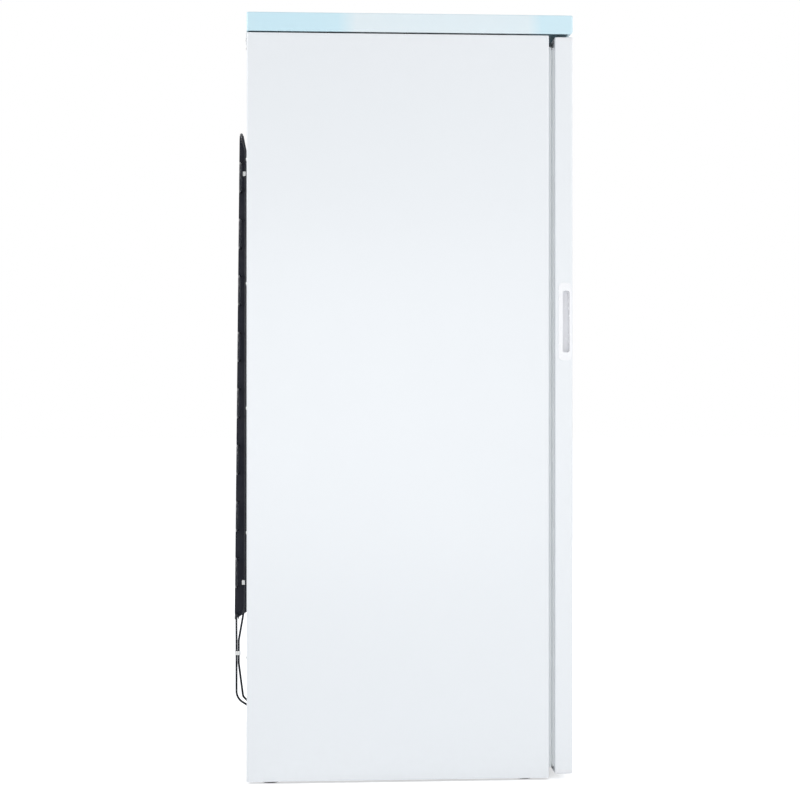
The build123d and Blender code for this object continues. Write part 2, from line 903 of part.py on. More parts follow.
def door_rack(index):
    """An open tray that stands on its lugs in the door."""
    level = rack_level(index)
    height = rack_heights[index]
    reach = egg_rack_reach if index == rack_count - 1 else rack_reach
    front = door_back + plug_panel_depth + rack_gap
    back = door_back + reach
    outer = block(-rack_half_width, rack_half_width, front, back, level, level + height)
    rear_corners = outer.edges().filter_by(Axis.Z).group_by(Axis.Y)[-1]
    outer = fillet(rear_corners, rack_corner)
    inner = block(-rack_half_width + rack_wall, rack_half_width - rack_wall, front + rack_wall,
                  back - rack_wall, level + rack_wall, level + height)
    inner = fillet(inner.edges().filter_by(Axis.Z).group_by(Axis.Y)[-1], rack_corner - rack_wall)
    tray = outer - inner
    slot_low = level + height / 2
    slot = block(-rack_half_width + rack_slot_margin, rack_half_width - rack_slot_margin,
                 back - 2 * rack_wall, back + rack_wall, slot_low, slot_low + rack_slot_height)
    slot = fillet(slot.edges().filter_by(Axis.Y), rack_slot_height / 3)
    drop = block(-rack_half_width + rack_wall, rack_half_width - rack_wall, front - rack_wall,
                 front + 2 * rack_wall, slot_low, level + height + rack_wall)
    return tray - slot - drop


# Inside the cold space

def shelf_level(index):
    """The seat height of one shelf, counted from 0 at the lowest."""
    return ledge_level((index + 1) * ledges_per_shelf)


def pane(level, back):
    """A sheet of glass that lies on a pair of ledges."""
    half = interior_half - glass_side_gap
    front = shelf_front + shelf_trim_radius / 2
    sheet_of_glass = block(-half, half, front, back, level, level + glass)
    rear_corners = sheet_of_glass.edges().filter_by(Axis.Z).group_by(Axis.Y)[-1]
    return fillet(rear_corners, glass_corner)


def trims(level, back):
    """The moulded front and rear edges of a pane, as two solids."""
    half = interior_half - glass_side_gap - ledge_depth
    middle = level + glass / 2
    nose = block(-half, half, shelf_front, shelf_front + shelf_trim_depth,
                 middle - shelf_trim_height / 2, middle + shelf_trim_height / 2)
    nose = fillet(nose.edges().filter_by(Axis.X).group_by(Axis.Y)[0], shelf_trim_radius)
    reach = half - glass_corner
    stop = block(-reach, reach, back - shelf_trim_overlap, back + glass / 2, level - glass / 2,
                 level + shelf_trim_height)
    sheet_of_glass = pane(level, back)
    return list((nose - sheet_of_glass).solids()) + list((stop - sheet_of_glass).solids())


def shelf_back():
    return cavity_back - shelf_back_gap


def cover_back():
    """The crisper cover stops before the liner's bend at the foot of the back wall."""
    return shelf_back() - cavity_bend


def shelf_glass(index):
    return pane(shelf_level(index), shelf_back())


def crisper_cover():
    return pane(ledge_level(0), cover_back())


def shelf_trims():
    """The edges of the three shelves and of the crisper's cover."""
    solids = trims(ledge_level(0), cover_back())
    for index in range(shelf_count):
        solids += trims(shelf_level(index), shelf_back())
    return Compound(solids)


def crisper_form(inset, top_extra):
    """The crisper's outside shape, drawn in by inset, with its rear leaning like the partition."""
    foot = cabinet_back - machine_depth_foot - partition_wall - crisper_back_gap
    head = cabinet_back - machine_depth_head - partition_wall - crisper_back_gap
    front = door_back + rack_reach + crisper_front_gap
    low = floor_level + crisper_floor_gap
    high = low + crisper_height
    slope = (head - foot) / (step_level - floor_level)
    points = [
        (front + inset, low + inset),
        (foot - inset, low + inset),
        (foot - inset + slope * (crisper_height + top_extra), high + top_extra),
        (front + inset, high + top_extra),
    ]
    half = crisper_half_width - inset
    form = side_profile(points, -half, half)
    level_edges = form.edges().filter_by(lambda edge: edge.center().Z < high + top_extra - edge_margin)
    return fillet(level_edges, crisper_radius - inset)


def crisper_drawer():
    """A clear drawer with a rolled grip along its front."""
    tray = crisper_form(0, 0) - crisper_form(crisper_wall, crisper_wall)
    front = door_back + rack_reach + crisper_front_gap
    high = floor_level + crisper_floor_gap + crisper_height
    points = [
        (front + crisper_wall / 2, high),
        (front - crisper_grip_depth, high),
        (front - crisper_grip_depth, high - crisper_grip_height),
        (front - crisper_grip_depth + crisper_wall, high - crisper_grip_height),
        (front - crisper_grip_depth + crisper_wall, high - crisper_wall),
        (front + crisper_wall / 2, high - crisper_wall),
    ]
    return tray + side_profile(points, -crisper_grip_half_width, crisper_grip_half_width)


def icebox_front():
    return cabinet_front + icebox_front_setback


def icebox_section(inset, y_low, y_high):
    """The sleeve's rounded section as a solid."""
    width = 2 * (icebox_half_width - inset)
    section = RectangleRounded(width, icebox_height - 2 * inset, icebox_corner - inset)
    middle = icebox_top - icebox_height / 2
    face = Plane.XZ.offset(-y_low) * (Pos(0, middle) * section)
    return extrude(face, amount=y_low - y_high)


def evaporator_sleeve():
    """The roll-bonded icebox: a thin sleeve, closed behind, with its flow channel raised below."""
    back = cavity_back - icebox_rear_gap
    front = icebox_front()
    sleeve = icebox_section(0, front, back) - icebox_section(icebox_wall, front, back - icebox_wall)
    under = icebox_top - icebox_height
    half = icebox_half_width - 2 * icebox_corner
    span = (back - front) / (icebox_ridges + 1)
    path = []
    for index in range(icebox_ridges):
        y = front + span * (index + 1)
        ends = (-half, half) if index % 2 == 0 else (half, -half)
        path += [(ends[0], y, under), (ends[1], y, under)]
    channel = tube(path, icebox_ridge, span / 3)
    top = icebox_top
    sleeve = sleeve + (channel - icebox_section(icebox_wall / 2, front, back))
    for x in (-half_width + icebox_hanger_inset * 2, half_width - icebox_hanger_inset * 2):
        for y in (front + icebox_hanger_inset, back - icebox_hanger_inset):
            sleeve = sleeve + cylinder_z(x, y, icebox_hanger_radius, top - icebox_wall / 2, ceiling_level)
    return sleeve


def flap_pin_y():
    return icebox_front() - collar_depth / 2 - flap_gap - flap_thickness / 2


def flap_pin_z():
    return icebox_top - flap_pin_drop


def icebox_collar():
    """The moulded frame on the sleeve's mouth, with an ear at each end for the flap."""
    front = icebox_front() - collar_depth / 2
    back = icebox_front() + collar_depth / 2
    outer_half = icebox_half_width + icebox_wall
    top = icebox_top + icebox_wall
    low = icebox_top - icebox_height - icebox_wall
    frame = block(-outer_half, outer_half, front, back, low - icebox_wall, top)
    frame = fillet(frame.edges().filter_by(Axis.Y), icebox_corner)
    mouth_half = outer_half - collar_wall
    mouth = block(-mouth_half, mouth_half, front, back, low + collar_wall, top - collar_wall)
    mouth = fillet(mouth.edges().filter_by(Axis.Y), icebox_corner / 2)
    frame = frame - mouth - icebox_section(0, icebox_front(), back)
    ear_front = flap_pin_y() - flap_thickness / 2
    ear_top = icebox_top - icebox_wall
    for side in (-1, 1):
        x_low = min(side * (outer_half - ear_thickness), side * outer_half)
        ear = block(x_low, x_low + ear_thickness, ear_front, front, flap_pin_z() - flap_thickness, ear_top)
        frame = frame + ear
    bore_radius = flap_pin_radius + running_clearance
    return frame - cylinder_x(flap_pin_y(), flap_pin_z(), bore_radius, -half_width, half_width)


def icebox_flap():
    """The flap: a rounded plate with a hollow back, hung on two stub pins."""
    half = icebox_half_width + icebox_wall - ear_thickness - flap_side_gap
    front = flap_pin_y() - flap_thickness / 2
    back = front + flap_thickness
    low = icebox_top - icebox_height + collar_wall / 2
    high = flap_pin_z() + flap_thickness / 2
    plate = block(-half, half, front, back, low, high)
    plate = fillet(plate.edges().filter_by(Axis.Y), icebox_corner / 2)
    plate = fillet(plate.edges().filter_by(Axis.X).group_by(Axis.Z)[-1], flap_top_radius)
    rim = flap_thickness / 2
    hollow = block(-half + rim, half - rim, front + rim / 2, back, low + rim, high - 2 * flap_thickness)
    grip = block(-flap_grip_width, flap_grip_width, front - flap_grip_depth, front,
                 low, low + flap_grip_height)
    grip = fillet(grip.edges().filter_by(Axis.X).group_by(Axis.Y)[0], flap_grip_height / 3)
    reach = half + flap_side_gap + ear_thickness
    pins = cylinder_x(flap_pin_y(), flap_pin_z(), flap_pin_radius, -reach, reach)
    bare = half - edge_margin
    middle_span = cylinder_x(flap_pin_y(), flap_pin_z(), flap_pin_radius, -bare, bare)
    return plate - hollow + grip + (pins - middle_span)


# Thermostat and lamp, on the right wall

def housing_box():
    """The housing's corners: x low and high, y low and high, z low and high."""
    front = cabinet_front + housing_front_setback
    return (interior_half - housing_depth, interior_half, front, front + housing_length,
            housing_level, housing_level + housing_height)


def housing_middle():
    return housing_level + housing_height / 2


def lamp_window(growth, depth_low, depth_high):
    """The lamp's opening in the housing, grown by growth, between two depths in x."""
    x_low, x_high, y_low, y_high, z_low, z_high = housing_box()
    back = y_high - lamp_window_end
    half = lamp_window_height / 2
    window = block(depth_low, depth_high, back - lamp_window_length - growth, back + growth,
                   housing_middle() - half - growth, housing_middle() + half + growth)
    return fillet(window.edges().filter_by(Axis.X), housing_radius)


def knob_y():
    return cabinet_front + knob_front_setback


def thermostat_housing():
    """A hollow moulding with a lamp window and socket, a knob hole and a switch hole."""
    x_low, x_high, y_low, y_high, z_low, z_high = housing_box()
    shell = block(x_low, x_high, y_low, y_high, z_low, z_high)
    shell = fillet(shell.edges().group_by(Axis.X)[0], housing_radius)
    inner = block(x_low + housing_wall, x_high, y_low + housing_wall, y_high - housing_wall,
                  z_low + housing_wall, z_high - housing_wall)
    shell = shell - inner - lamp_window(0, x_low - housing_wall, x_low + 2 * housing_wall)
    shell = shell - cylinder_x(knob_y(), housing_middle(), knob_shaft_radius + running_clearance,
                               x_low - housing_wall, x_low + 2 * housing_wall)
    plunger_x = x_high - plunger_inset
    shell = shell - cylinder_y(plunger_x, housing_middle(), plunger_radius + running_clearance,
                               y_low - housing_wall, y_low + 2 * housing_wall)
    back = y_high - housing_wall
    return shell + cylinder_y(lamp_axis_x(), housing_middle(), holder_radius, back - holder_length, back)


def thermostat_knob():
    """A notched dial knob with a pointer and a short shaft."""
    x_low = housing_box()[0]
    face = x_low - knob_gap
    knob = cylinder_x(knob_y(), housing_middle(), knob_radius, face - knob_depth, face)
    knob = fillet(knob.edges().group_by(Axis.X)[0], knob_depth / 5)
    for index in range(knob_notches):
        angle = 2 * pi * index / knob_notches
        y = knob_y() + knob_radius * cos(angle)
        z = housing_middle() + knob_radius * sin(angle)
        notch = cylinder_x(y, z, knob_notch_radius, face - knob_depth, face - knob_depth / 3)
        knob = knob - notch
    front = face - knob_depth
    pointer = block(front - pointer_rise, front + pointer_rise, knob_y() - pointer_half_width,
                    knob_y() + pointer_half_width, housing_middle(), housing_middle() + pointer_length)
    shaft = cylinder_x(knob_y(), housing_middle(), knob_shaft_radius, face, x_low + 3 * housing_wall)
    return knob + pointer + shaft


def lamp_cover():
    """The clear ribbed cover that clips into the lamp window."""
    x_low = housing_box()[0]
    outer = lamp_window(-knob_gap, x_low - lamp_cover_stand, x_low + 2 * housing_wall)
    outer = fillet(outer.edges().group_by(Axis.X)[0], lamp_cover_wall)
    inner = lamp_window(-knob_gap - lamp_cover_wall, x_low - lamp_cover_stand + lamp_cover_wall,
                        x_low + 3 * housing_wall)
    cover = outer - inner
    y_high = housing_box()[3] - lamp_window_end
    rib_half = lamp_cover_wall / 2
    half = lamp_window_height / 2 - 2 * lamp_cover_wall
    front = x_low - lamp_cover_stand
    for index in range(lamp_cover_ribs):
        y = y_high - lamp_window_length * (index + 1) / (lamp_cover_ribs + 1)
        rib = block(front - rib_half, front + rib_half, y - rib_half, y + rib_half,
                    housing_middle() - half, housing_middle() + half)
        cover = cover + rib
    return cover


def lamp_axis_x():
    return interior_half - housing_depth / 2


def lamp_bulb():
    """A small bulb: a turned glass envelope on its cap."""
    back = housing_box()[3] - housing_wall - holder_length
    centre = back - bulb_length + bulb_radius
    ball = Pos(lamp_axis_x(), centre, housing_middle()) * Sphere(bulb_radius)
    stem = cylinder_y(lamp_axis_x(), housing_middle(), bulb_neck_radius, centre, back)
    return ball + stem


def door_switch_plunger():
    """The lamp's push switch, held in by the closed door's dyke."""
    x = interior_half - plunger_inset
    y_low = housing_box()[2]
    tip = door_back + plug_dyke_depth + plunger_gap
    head = cylinder_y(x, housing_middle(), plunger_head_radius, tip, tip + plunger_head)
    head = chamfer(head.edges().group_by(Axis.Y)[0], plunger_chamfer)
    stem = cylinder_y(x, housing_middle(), plunger_radius, tip + plunger_head / 2,
                      y_low + housing_wall + 2 * plunger_travel)
    return head + stem


# Condenser

def lean_angle():
    """How far the condenser's foot leans out from the wall, in radians."""
    return atan2(condenser_lean, pass_pitch * (pass_count - 1))


def grid_half_depth():
    """Half the condenser's depth: from the passes' plane to the wires' outer faces."""
    return pass_radius + wire_seat + 2 * wire_radius


def foot_standoff():
    """The passes' plane's distance from the back panel at the lowest pass."""
    return condenser_reach - grid_half_depth()


def lean_point(x, standoff, drop):
    """A point of the condenser, by its distance out from the passes' plane and below the top pass."""
    angle = lean_angle()
    head_y = cabinet_back + foot_standoff() - condenser_lean
    y = head_y + standoff * cos(angle) + drop * sin(angle)
    z = condenser_top + standoff * sin(angle) - drop * cos(angle)
    return (x, y, z)


def leaning(solid):
    """Place a solid that was made with its top pass along X through the origin."""
    head_y = cabinet_back + foot_standoff() - condenser_lean
    return Pos(0, head_y, condenser_top) * Rot(degrees(lean_angle()), 0, 0) * solid


def pass_end():
    """How far out the top and bottom passes' free ends reach."""
    return riser_offset - 2 * line_bend


def condenser_tube():
    """One unbroken serpentine of level passes joined by half-round bends."""
    bend = pass_pitch / 2
    end = condenser_half_width - pass_radius - bend
    start = pass_end()
    edges = []
    for index in range(pass_count):
        z = -index * pass_pitch
        side = -1 if index % 2 == 0 else 1
        x_from = side * (start if index == 0 else end)
        x_to = -side * (start if index == pass_count - 1 else end)
        edges.append(Line((x_from, 0, z), (x_to, 0, z)))
        if index < pass_count - 1:
            apex = (x_to - side * bend, 0, z - bend)
            edges.append(ThreePointArc((x_to, 0, z), apex, (x_to, 0, z - pass_pitch)))
    path = Wire([curve.edge() for curve in edges])
    outline = RegularPolygon(pass_radius, tube_sides, major_radius=False, rotation=180 / tube_sides)
    section = Plane(origin=(-start, 0, 0), z_dir=(1, 0, 0)) * outline
    return leaning(sweep(section, path=path))


def condenser_wires():
    """Upright wires welded on both faces of the passes."""
    offset_y = pass_radius + wire_radius + wire_seat
    low = -pass_pitch * (pass_count - 1) - wire_foot
    wires = []
    for face in (-1, 1):
        for index in range(wires_per_face):
            x = (index - (wires_per_face - 1) / 2) * wire_pitch
            outline = RegularPolygon(wire_radius, thin_tube_sides, major_radius=False)
            wire = extrude(Pos(x, face * offset_y, low) * outline, amount=wire_head - low)
            wires += list(leaning(wire).solids())
    return Compound(wires)


def condenser_strips():
    """Two folded strips on the back panel, notched for every pass below the top one."""
    low = pass_pitch * (pass_count - 1)
    head = lean_point(0, grid_half_depth(), strip_head_gap)
    foot = lean_point(0, grid_half_depth(), low + wire_foot)
    top = head[2] - strip_head_slope
    base = foot[2] + strip_foot_slope
    x_low = -strip_offset
    web = side_profile([(cabinet_back, top), (head[1], head[2]), (foot[1], foot[2]), (cabinet_back, base)],
                       x_low, x_low + strip_sheet)
    flange = block(x_low, x_low + strip_flange, cabinet_back, cabinet_back + strip_sheet, base, top)
    half = pass_radius + strip_seat
    for index in range(1, pass_count):
        z = -index * pass_pitch
        notch = block(x_low, x_low + strip_sheet, -half, grid_half_depth() + strip_sheet, z - half, z + half)
        web = web - leaning(notch)
    return pair(web + flange)


def condenser_clips():
    """Two white clips on the riser, saddles that keep it off the bends."""
    clips = []
    for level in clip_levels:
        y = riser_y(level)
        clip = block(-riser_offset - clip_half_width, -riser_offset + clip_half_width, y, y + clip_depth,
                     level - clip_height / 2, level + clip_height / 2)
        clip = clip - cylinder_z(-riser_offset, y, line_radius + running_clearance,
                                 level - clip_height, level + clip_height)
        clips += list(clip.solids())
    return Compound(clips)


# Tubes between the compressor and the condenser

def riser_y(level):
    """The y of the riser, which runs up the back panel behind the bends."""
    share = (condenser_top - level) / (pass_pitch * (pass_count - 1))
    return cabinet_back + riser_wall_gap + line_radius + riser_lean * share


def strand_y(index):
    """The y of one of the two strands in the band, 0 the outer one."""
    return cabinet_back + strand_reach - line_radius - index * (2 * line_radius + strand_gap)


def compressor_y():
    return cabinet_back - compressor_setback


def hot_gas_tube():
    """From the compressor up the back panel, behind the bends, to the condenser's top pass."""
    riser_top = condenser_top - riser_head_drop
    port_x = compressor_x - compressor_half_length * port_share
    port_y = compressor_y() + compressor_half_depth * port_share
    points = [
        lean_point(-pass_end(), 0, 0),
        lean_point(-riser_offset, 0, 0),
        (-riser_offset, riser_y(riser_top), riser_top),
        (-riser_offset, riser_y(riser_foot_level), riser_foot_level),
        (-riser_offset, strand_y(1), tie_level + 2 * line_bend),
        (-riser_offset, strand_y(1), hot_gas_lean_level),
        (-riser_offset + hot_gas_turn_shift, cabinet_back + hot_gas_turn_reach, hot_gas_turn_level),
        (-riser_offset + 2 * hot_gas_turn_shift, cabinet_back - hot_gas_entry_depth, hot_gas_entry_level),
        (-riser_offset + hot_gas_run_shift, cabinet_back - hot_gas_run_depth, hot_gas_entry_level),
        (port_x, port_y, port_level),
    ]
    return tube(points, line_radius, line_bend) - compressor_shell()


def condenser_outlet_tube():
    """From the condenser's lowest pass down to the filter drier."""
    low = pass_pitch * (pass_count - 1)
    points = [
        lean_point(-pass_end(), 0, low),
        lean_point(-riser_offset, 0, low),
        (-riser_offset, strand_y(0), tie_level + 2 * line_bend),
        (-riser_offset, strand_y(0), outlet_turn_level),
        (-riser_offset, cabinet_back - outlet_entry_depth, drier_level),
        (-riser_offset, cabinet_back - drier_setback, drier_level),
    ]
    return tube(points, line_radius, [line_bend, line_bend, outlet_bend, line_bend])


def tube_tie():
    """The white band round the two strands."""
    inner = line_radius + tie_gap
    outer = inner + tie_wall
    middle = (strand_y(0) + strand_y(1)) / 2
    spread = strand_y(0) - strand_y(1)
    band = RectangleRounded(2 * outer, spread + 2 * outer, outer - tie_gap)
    hole = RectangleRounded(2 * inner, spread + 2 * inner, inner - tie_gap)
    ring = Pos(-riser_offset, middle, tie_level - tie_height / 2) * (band - hole)
    return extrude(ring, amount=tie_height)


def filter_drier():
    """A copper cartridge with a cone at each end, lying under the roof of the compressor space."""
    back = cabinet_back - drier_setback
    front = back - drier_length
    outline = [
        (0, back),
        (line_radius, back),
        (drier_radius, back - drier_cone),
        (drier_radius, front + drier_cone),
        (capillary_radius, front),
        (0, front),
    ]
    half_section = make_face(Polyline(*outline, close=True))
    return Pos(-riser_offset, 0, drier_level) * revolve(half_section, Axis.Y)


def coil_turn(index):
    """A point of the capillary's coil and its direction there, every half turn."""
    slope = atan2(capillary_pitch, 2 * pi * capillary_loop_radius)
    angle = pi * (index + 1)
    start_y = cabinet_back - drier_setback - drier_length - capillary_lead
    point = Vector(
        -riser_offset + capillary_loop_radius * (1 + cos(angle)),
        start_y + capillary_loop_radius * sin(angle),
        drier_level + capillary_pitch * index / 2,
    )
    direction = Vector(-sin(angle) * cos(slope), cos(angle) * cos(slope), sin(slope))
    return point, direction


def half_turn(index):
    """Two arcs that join one coil point to the next and keep both directions."""
    start, start_way = coil_turn(index)
    end, end_way = coil_turn(index + 1)
    chord = end - start
    across = chord.dot(start_way + end_way)
    fold = 2 * (1 - start_way.dot(end_way))
    reach = (-across + (across ** 2 + fold * chord.dot(chord)) ** 0.5) / fold
    middle = (start + end + (start_way - end_way) * reach) * 0.5
    first = TangentArc(start, middle, tangent=start_way)
    second = TangentArc(middle, end, tangent=first % 1)
    return [first, second]


def capillary_rise():
    """Where the capillary tube turns up into the roof: the arc's start and end, and its top."""
    last, way = coil_turn(2 * capillary_loops + 1)
    slope = atan2(way.Z, abs(way.Y))
    start = last + way * capillary_exit
    turn = pi / 2 - slope
    end = start + way * (line_bend * sin(turn))
    normal = Vector(0, -sin(slope), cos(slope))
    end = end + normal * (line_bend * (1 - cos(turn)))
    top = Vector(end.X, end.Y, machine_roof + roof_entry)
    return last, start, end, top, way


def capillary_bore():
    top = capillary_rise()[3]
    return cylinder_z(top.X, top.Y, capillary_radius + running_clearance, machine_roof - 2 * sheet, top.Z)


def capillary_path():
    """The capillary's centre line: a lead-in, half turns and the rise."""
    start, start_way = coil_turn(0)
    edges = [Line(start - start_way * capillary_lead, start)]
    for index in range(2 * capillary_loops + 1):
        edges += half_turn(index)
    last, bend_start, bend_end, top, way = capillary_rise()
    edges.append(Line(last, bend_start))
    edges.append(TangentArc(bend_start, bend_end, tangent=way))
    edges.append(Line(bend_end, top))
    return edges


def capillary_tube():
    """One unbroken thin tube, wound into a flat coil behind the drier."""
    path = Wire([curve.edge() for curve in capillary_path()])
    outline = RegularPolygon(capillary_radius, thin_tube_sides)
    section = Plane(origin=path @ 0, z_dir=path % 0) * outline
    return sweep(section, path=path)


def coil_gap():
    """The least gap between one turn of the capillary's coil and the next, measured on points."""
    steps = 48
    points = []
    for index in range(2 * capillary_loops + 1):
        for curve in half_turn(index):
            points += [curve @ (step / steps) for step in range(steps)]
    apart = 2 * steps
    least = min(
        (points[first] - points[second]).length
        for first in range(len(points))
        for second in range(first + apart, len(points))
    )
    return least - 2 * capillary_radius


def suction_place():
    """The x and y of the suction tube's rise into the roof."""
    return compressor_x + compressor_half_length + 3 * line_bend, compressor_y()


def suction_bore():
    x, y = suction_place()
    top = machine_roof + roof_entry
    return cylinder_z(x, y, suction_radius + running_clearance, machine_roof - 2 * sheet, top)


def suction_tube():
    """From the compressor's right end up into the foam."""
    x, y = suction_place()
    points = [
        (compressor_x + compressor_half_length * port_share, y, port_level),
        (x, y, port_level),
        (x, y, machine_roof + roof_entry),
    ]
    return tube(points, suction_radius, line_bend) - compressor_shell()


# Compressor space

def compressor_oval(inset, z_low, z_high):
    """The compressor's oval plan, drawn in by inset, between two levels."""
    plan = SlotOverall(2 * (compressor_half_length - inset), 2 * (compressor_half_depth - inset))
    return extrude(Pos(compressor_x, compressor_y(), z_low) * plan, amount=z_high - z_low)


def mount_places():
    """The four rubber mounts' centres."""
    reach_x = compressor_plate_half_length - mount_inset
    reach_y = compressor_plate_half_depth - mount_inset
    return [
        (compressor_x + side_x * reach_x, compressor_y() + side_y * reach_y)
        for side_x in (-1, 1)
        for side_y in (-1, 1)
    ]


def compressor_shell():
    """Two deep-drawn shells welded at a rim, on a base plate."""
    lower = compressor_oval(0, compressor_foot, compressor_split)
    lower = fillet(lower.edges().group_by(Axis.Z)[0], compressor_foot_radius)
    dome = compressor_oval(compressor_step, compressor_split, compressor_top)
    dome = fillet(dome.edges().group_by(Axis.Z)[-1], compressor_dome_radius)
    rim = compressor_oval(-compressor_rim, compressor_split - compressor_rim_height, compressor_split)
    base = RectangleRounded(2 * compressor_plate_half_length, 2 * compressor_plate_half_depth, mount_inset)
    base = extrude(Pos(compressor_x, compressor_y(), compressor_foot - compressor_plate) * base,
                   amount=compressor_plate)
    for x, y in mount_places():
        base = base - cylinder_z(x, y, mount_bolt_radius + running_clearance,
                                 compressor_foot - compressor_plate, compressor_foot)
    stub = cylinder_x(compressor_y() - compressor_half_depth * port_share, process_level, line_radius,
                      compressor_x, compressor_x + compressor_half_length + process_length)
    return lower + dome + rim + base + stub


def compressor_mounts():
    """Four waisted rubber mounts."""
    low = channel_foot_level + channel_wall + carrier_plate
    high = compressor_foot - compressor_plate
    outline = [
        (mount_bolt_radius + running_clearance, low),
        (mount_radius, low),
        (mount_radius, low + mount_bead),
        (mount_waist_radius, low + mount_bead + mount_taper),
        (mount_waist_radius, high - mount_bead - mount_taper),
        (mount_radius, high - mount_bead),
        (mount_radius, high),
        (mount_bolt_radius + running_clearance, high),
    ]
    mount = revolve(Plane.XZ * make_face(Polyline(*outline, close=True)), Axis.Z)
    return Compound([solid for x, y in mount_places() for solid in (Pos(x, y, 0) * mount).solids()])


def relay_box():
    """The cover over the relay and terminals, fitted to the compressor's left end."""
    x_end = compressor_x - compressor_half_length
    box = block(x_end - relay_length, x_end + relay_bite, compressor_y() - relay_depth / 2,
                compressor_y() + relay_depth / 2, relay_level, relay_level + relay_height)
    box = fillet(box.edges().group_by(Axis.X)[0], relay_corner)
    return box - compressor_shell()


def cord_gland():
    """The round gland on the relay box's rear face."""
    x = compressor_x - compressor_half_length - relay_length / 2
    z = relay_level + relay_height / 2
    y = compressor_y() + relay_depth / 2
    gland = cylinder_y(x, z, gland_flange_radius, y, y + gland_flange)
    gland = gland + cylinder_y(x, z, gland_radius, y, y + gland_length)
    return gland - cylinder_y(x, z, gland_bore, y, y + gland_length)


def tray_box(inset, z_low, z_high):
    half_x = tray_half_length - inset
    half_y = tray_half_depth - inset
    plan = RectangleRounded(2 * half_x, 2 * half_y, tray_corner - inset)
    return extrude(Pos(compressor_x, compressor_y(), z_low) * plan, amount=z_high - z_low)


def evaporation_tray():
    """The open tray that catches the defrost water over the warm compressor."""
    tray = tray_box(0, tray_level, tray_level + tray_height)
    tray = fillet(tray.edges().group_by(Axis.Z)[0], 2 * tray_wall)
    hollow = tray_box(tray_wall, tray_level + tray_wall, tray_level + tray_height)
    pad = cylinder_z(compressor_x, compressor_y(), tray_pad_radius, compressor_top + tray_seat,
                     tray_level + tray_wall)
    return tray - hollow + pad


def drain_y():
    return cabinet_back - drain_setback


def drain_bore():
    radius = drain_radius + running_clearance
    return cylinder_z(drain_x, drain_y(), radius, machine_roof - 2 * sheet, step_level)


def drain_tube():
    """The pipe from the cold space's step to the tray."""
    low = machine_roof - drain_stub
    pipe = cylinder_z(drain_x, drain_y(), drain_radius, low, step_level)
    return pipe - cylinder_z(drain_x, drain_y(), drain_radius - drain_wall, low, step_level)


NODES = {
    "side_panel_left": side_panel_left(),
    "side_panel_right": mirrored(side_panel_left()),
    "top_panel": top_panel(),
    "top_front_rail": top_front_rail(),
    "bottom_front_rail": bottom_front_rail(),
    "back_panel": back_panel(),
    "underside_pan": underside_pan(),
    "cabinet_foam": cabinet_foam(),
    "inner_liner": inner_liner(),
    "worktop": worktop(),
    "worktop_brackets": worktop_brackets(),
    "base_channels": base_channels(),
    "levelling_foot_left": levelling_foot_left(),
    "levelling_foot_right": mirrored(levelling_foot_left()),
    "rear_feet": rear_feet(),
    "compressor_carrier": compressor_carrier(),
    "top_hinge": top_hinge(),
    "bottom_hinge": bottom_hinge(),
    "hinge_bushes": hinge_bushes(),
    "door_outer_panel": door_outer_panel(),
    "door_top_cap": door_top_cap(),
    "door_bottom_cap": door_bottom_cap(),
    "door_foam": door_foam(),
    "door_liner": door_liner(),
    "door_gasket": door_gasket(),
    "grip_cup": grip_cup(),
    "crisper_cover": crisper_cover(),
    "shelf_trims": shelf_trims(),
    "crisper_drawer": crisper_drawer(),
    "evaporator_sleeve": evaporator_sleeve(),
    "icebox_collar": icebox_collar(),
    "icebox_flap": icebox_flap(),
    "thermostat_housing": thermostat_housing(),
    "thermostat_knob": thermostat_knob(),
    "lamp_cover": lamp_cover(),
    "lamp_bulb": lamp_bulb(),
    "door_switch_plunger": door_switch_plunger(),
    "condenser_tube": condenser_tube(),
    "condenser_wires": condenser_wires(),
    "condenser_strips": condenser_strips(),
    "condenser_clips": condenser_clips(),
    "hot_gas_tube": hot_gas_tube(),
    "condenser_outlet_tube": condenser_outlet_tube(),
    "tube_tie": tube_tie(),
    "filter_drier": filter_drier(),
    "capillary_tube": capillary_tube(),
    "suction_tube": suction_tube(),
    "compressor_shell": compressor_shell(),
    "compressor_mounts": compressor_mounts(),
    "relay_box": relay_box(),
    "cord_gland": cord_gland(),
    "evaporation_tray": evaporation_tray(),
    "drain_tube": drain_tube(),
}

for number in range(rack_count):
    NODES["door_rack_" + str(number + 1)] = door_rack(number)

for number in range(shelf_count):
    NODES["shelf_glass_" + str(number + 1)] = shelf_glass(number)

os.makedirs("parts", exist_ok=True)
for name, solid in NODES.items():
    export_step(solid, "parts/" + name + ".step")

print("least gap in the capillary coil, mm:", round(coil_gap(), 2))
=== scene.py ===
from math import atan2, cos, pi, radians, sin, sqrt, tan
from random import Random

import bpy
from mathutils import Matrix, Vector


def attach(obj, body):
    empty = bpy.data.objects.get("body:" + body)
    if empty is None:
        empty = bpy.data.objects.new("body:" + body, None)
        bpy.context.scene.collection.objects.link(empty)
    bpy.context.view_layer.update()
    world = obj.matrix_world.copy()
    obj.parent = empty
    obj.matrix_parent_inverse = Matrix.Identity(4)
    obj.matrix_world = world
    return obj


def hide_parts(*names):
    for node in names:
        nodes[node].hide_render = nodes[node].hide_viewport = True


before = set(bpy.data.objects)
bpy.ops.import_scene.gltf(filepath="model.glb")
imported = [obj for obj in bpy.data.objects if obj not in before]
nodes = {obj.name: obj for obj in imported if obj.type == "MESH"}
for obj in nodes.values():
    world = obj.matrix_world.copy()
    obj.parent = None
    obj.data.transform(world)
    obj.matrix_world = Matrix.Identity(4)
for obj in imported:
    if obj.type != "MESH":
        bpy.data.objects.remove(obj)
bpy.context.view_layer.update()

# A tall single-door refrigerator, seen square from its left side against white.
# Metres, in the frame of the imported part: +Z up, door towards -Y, condenser towards +Y.

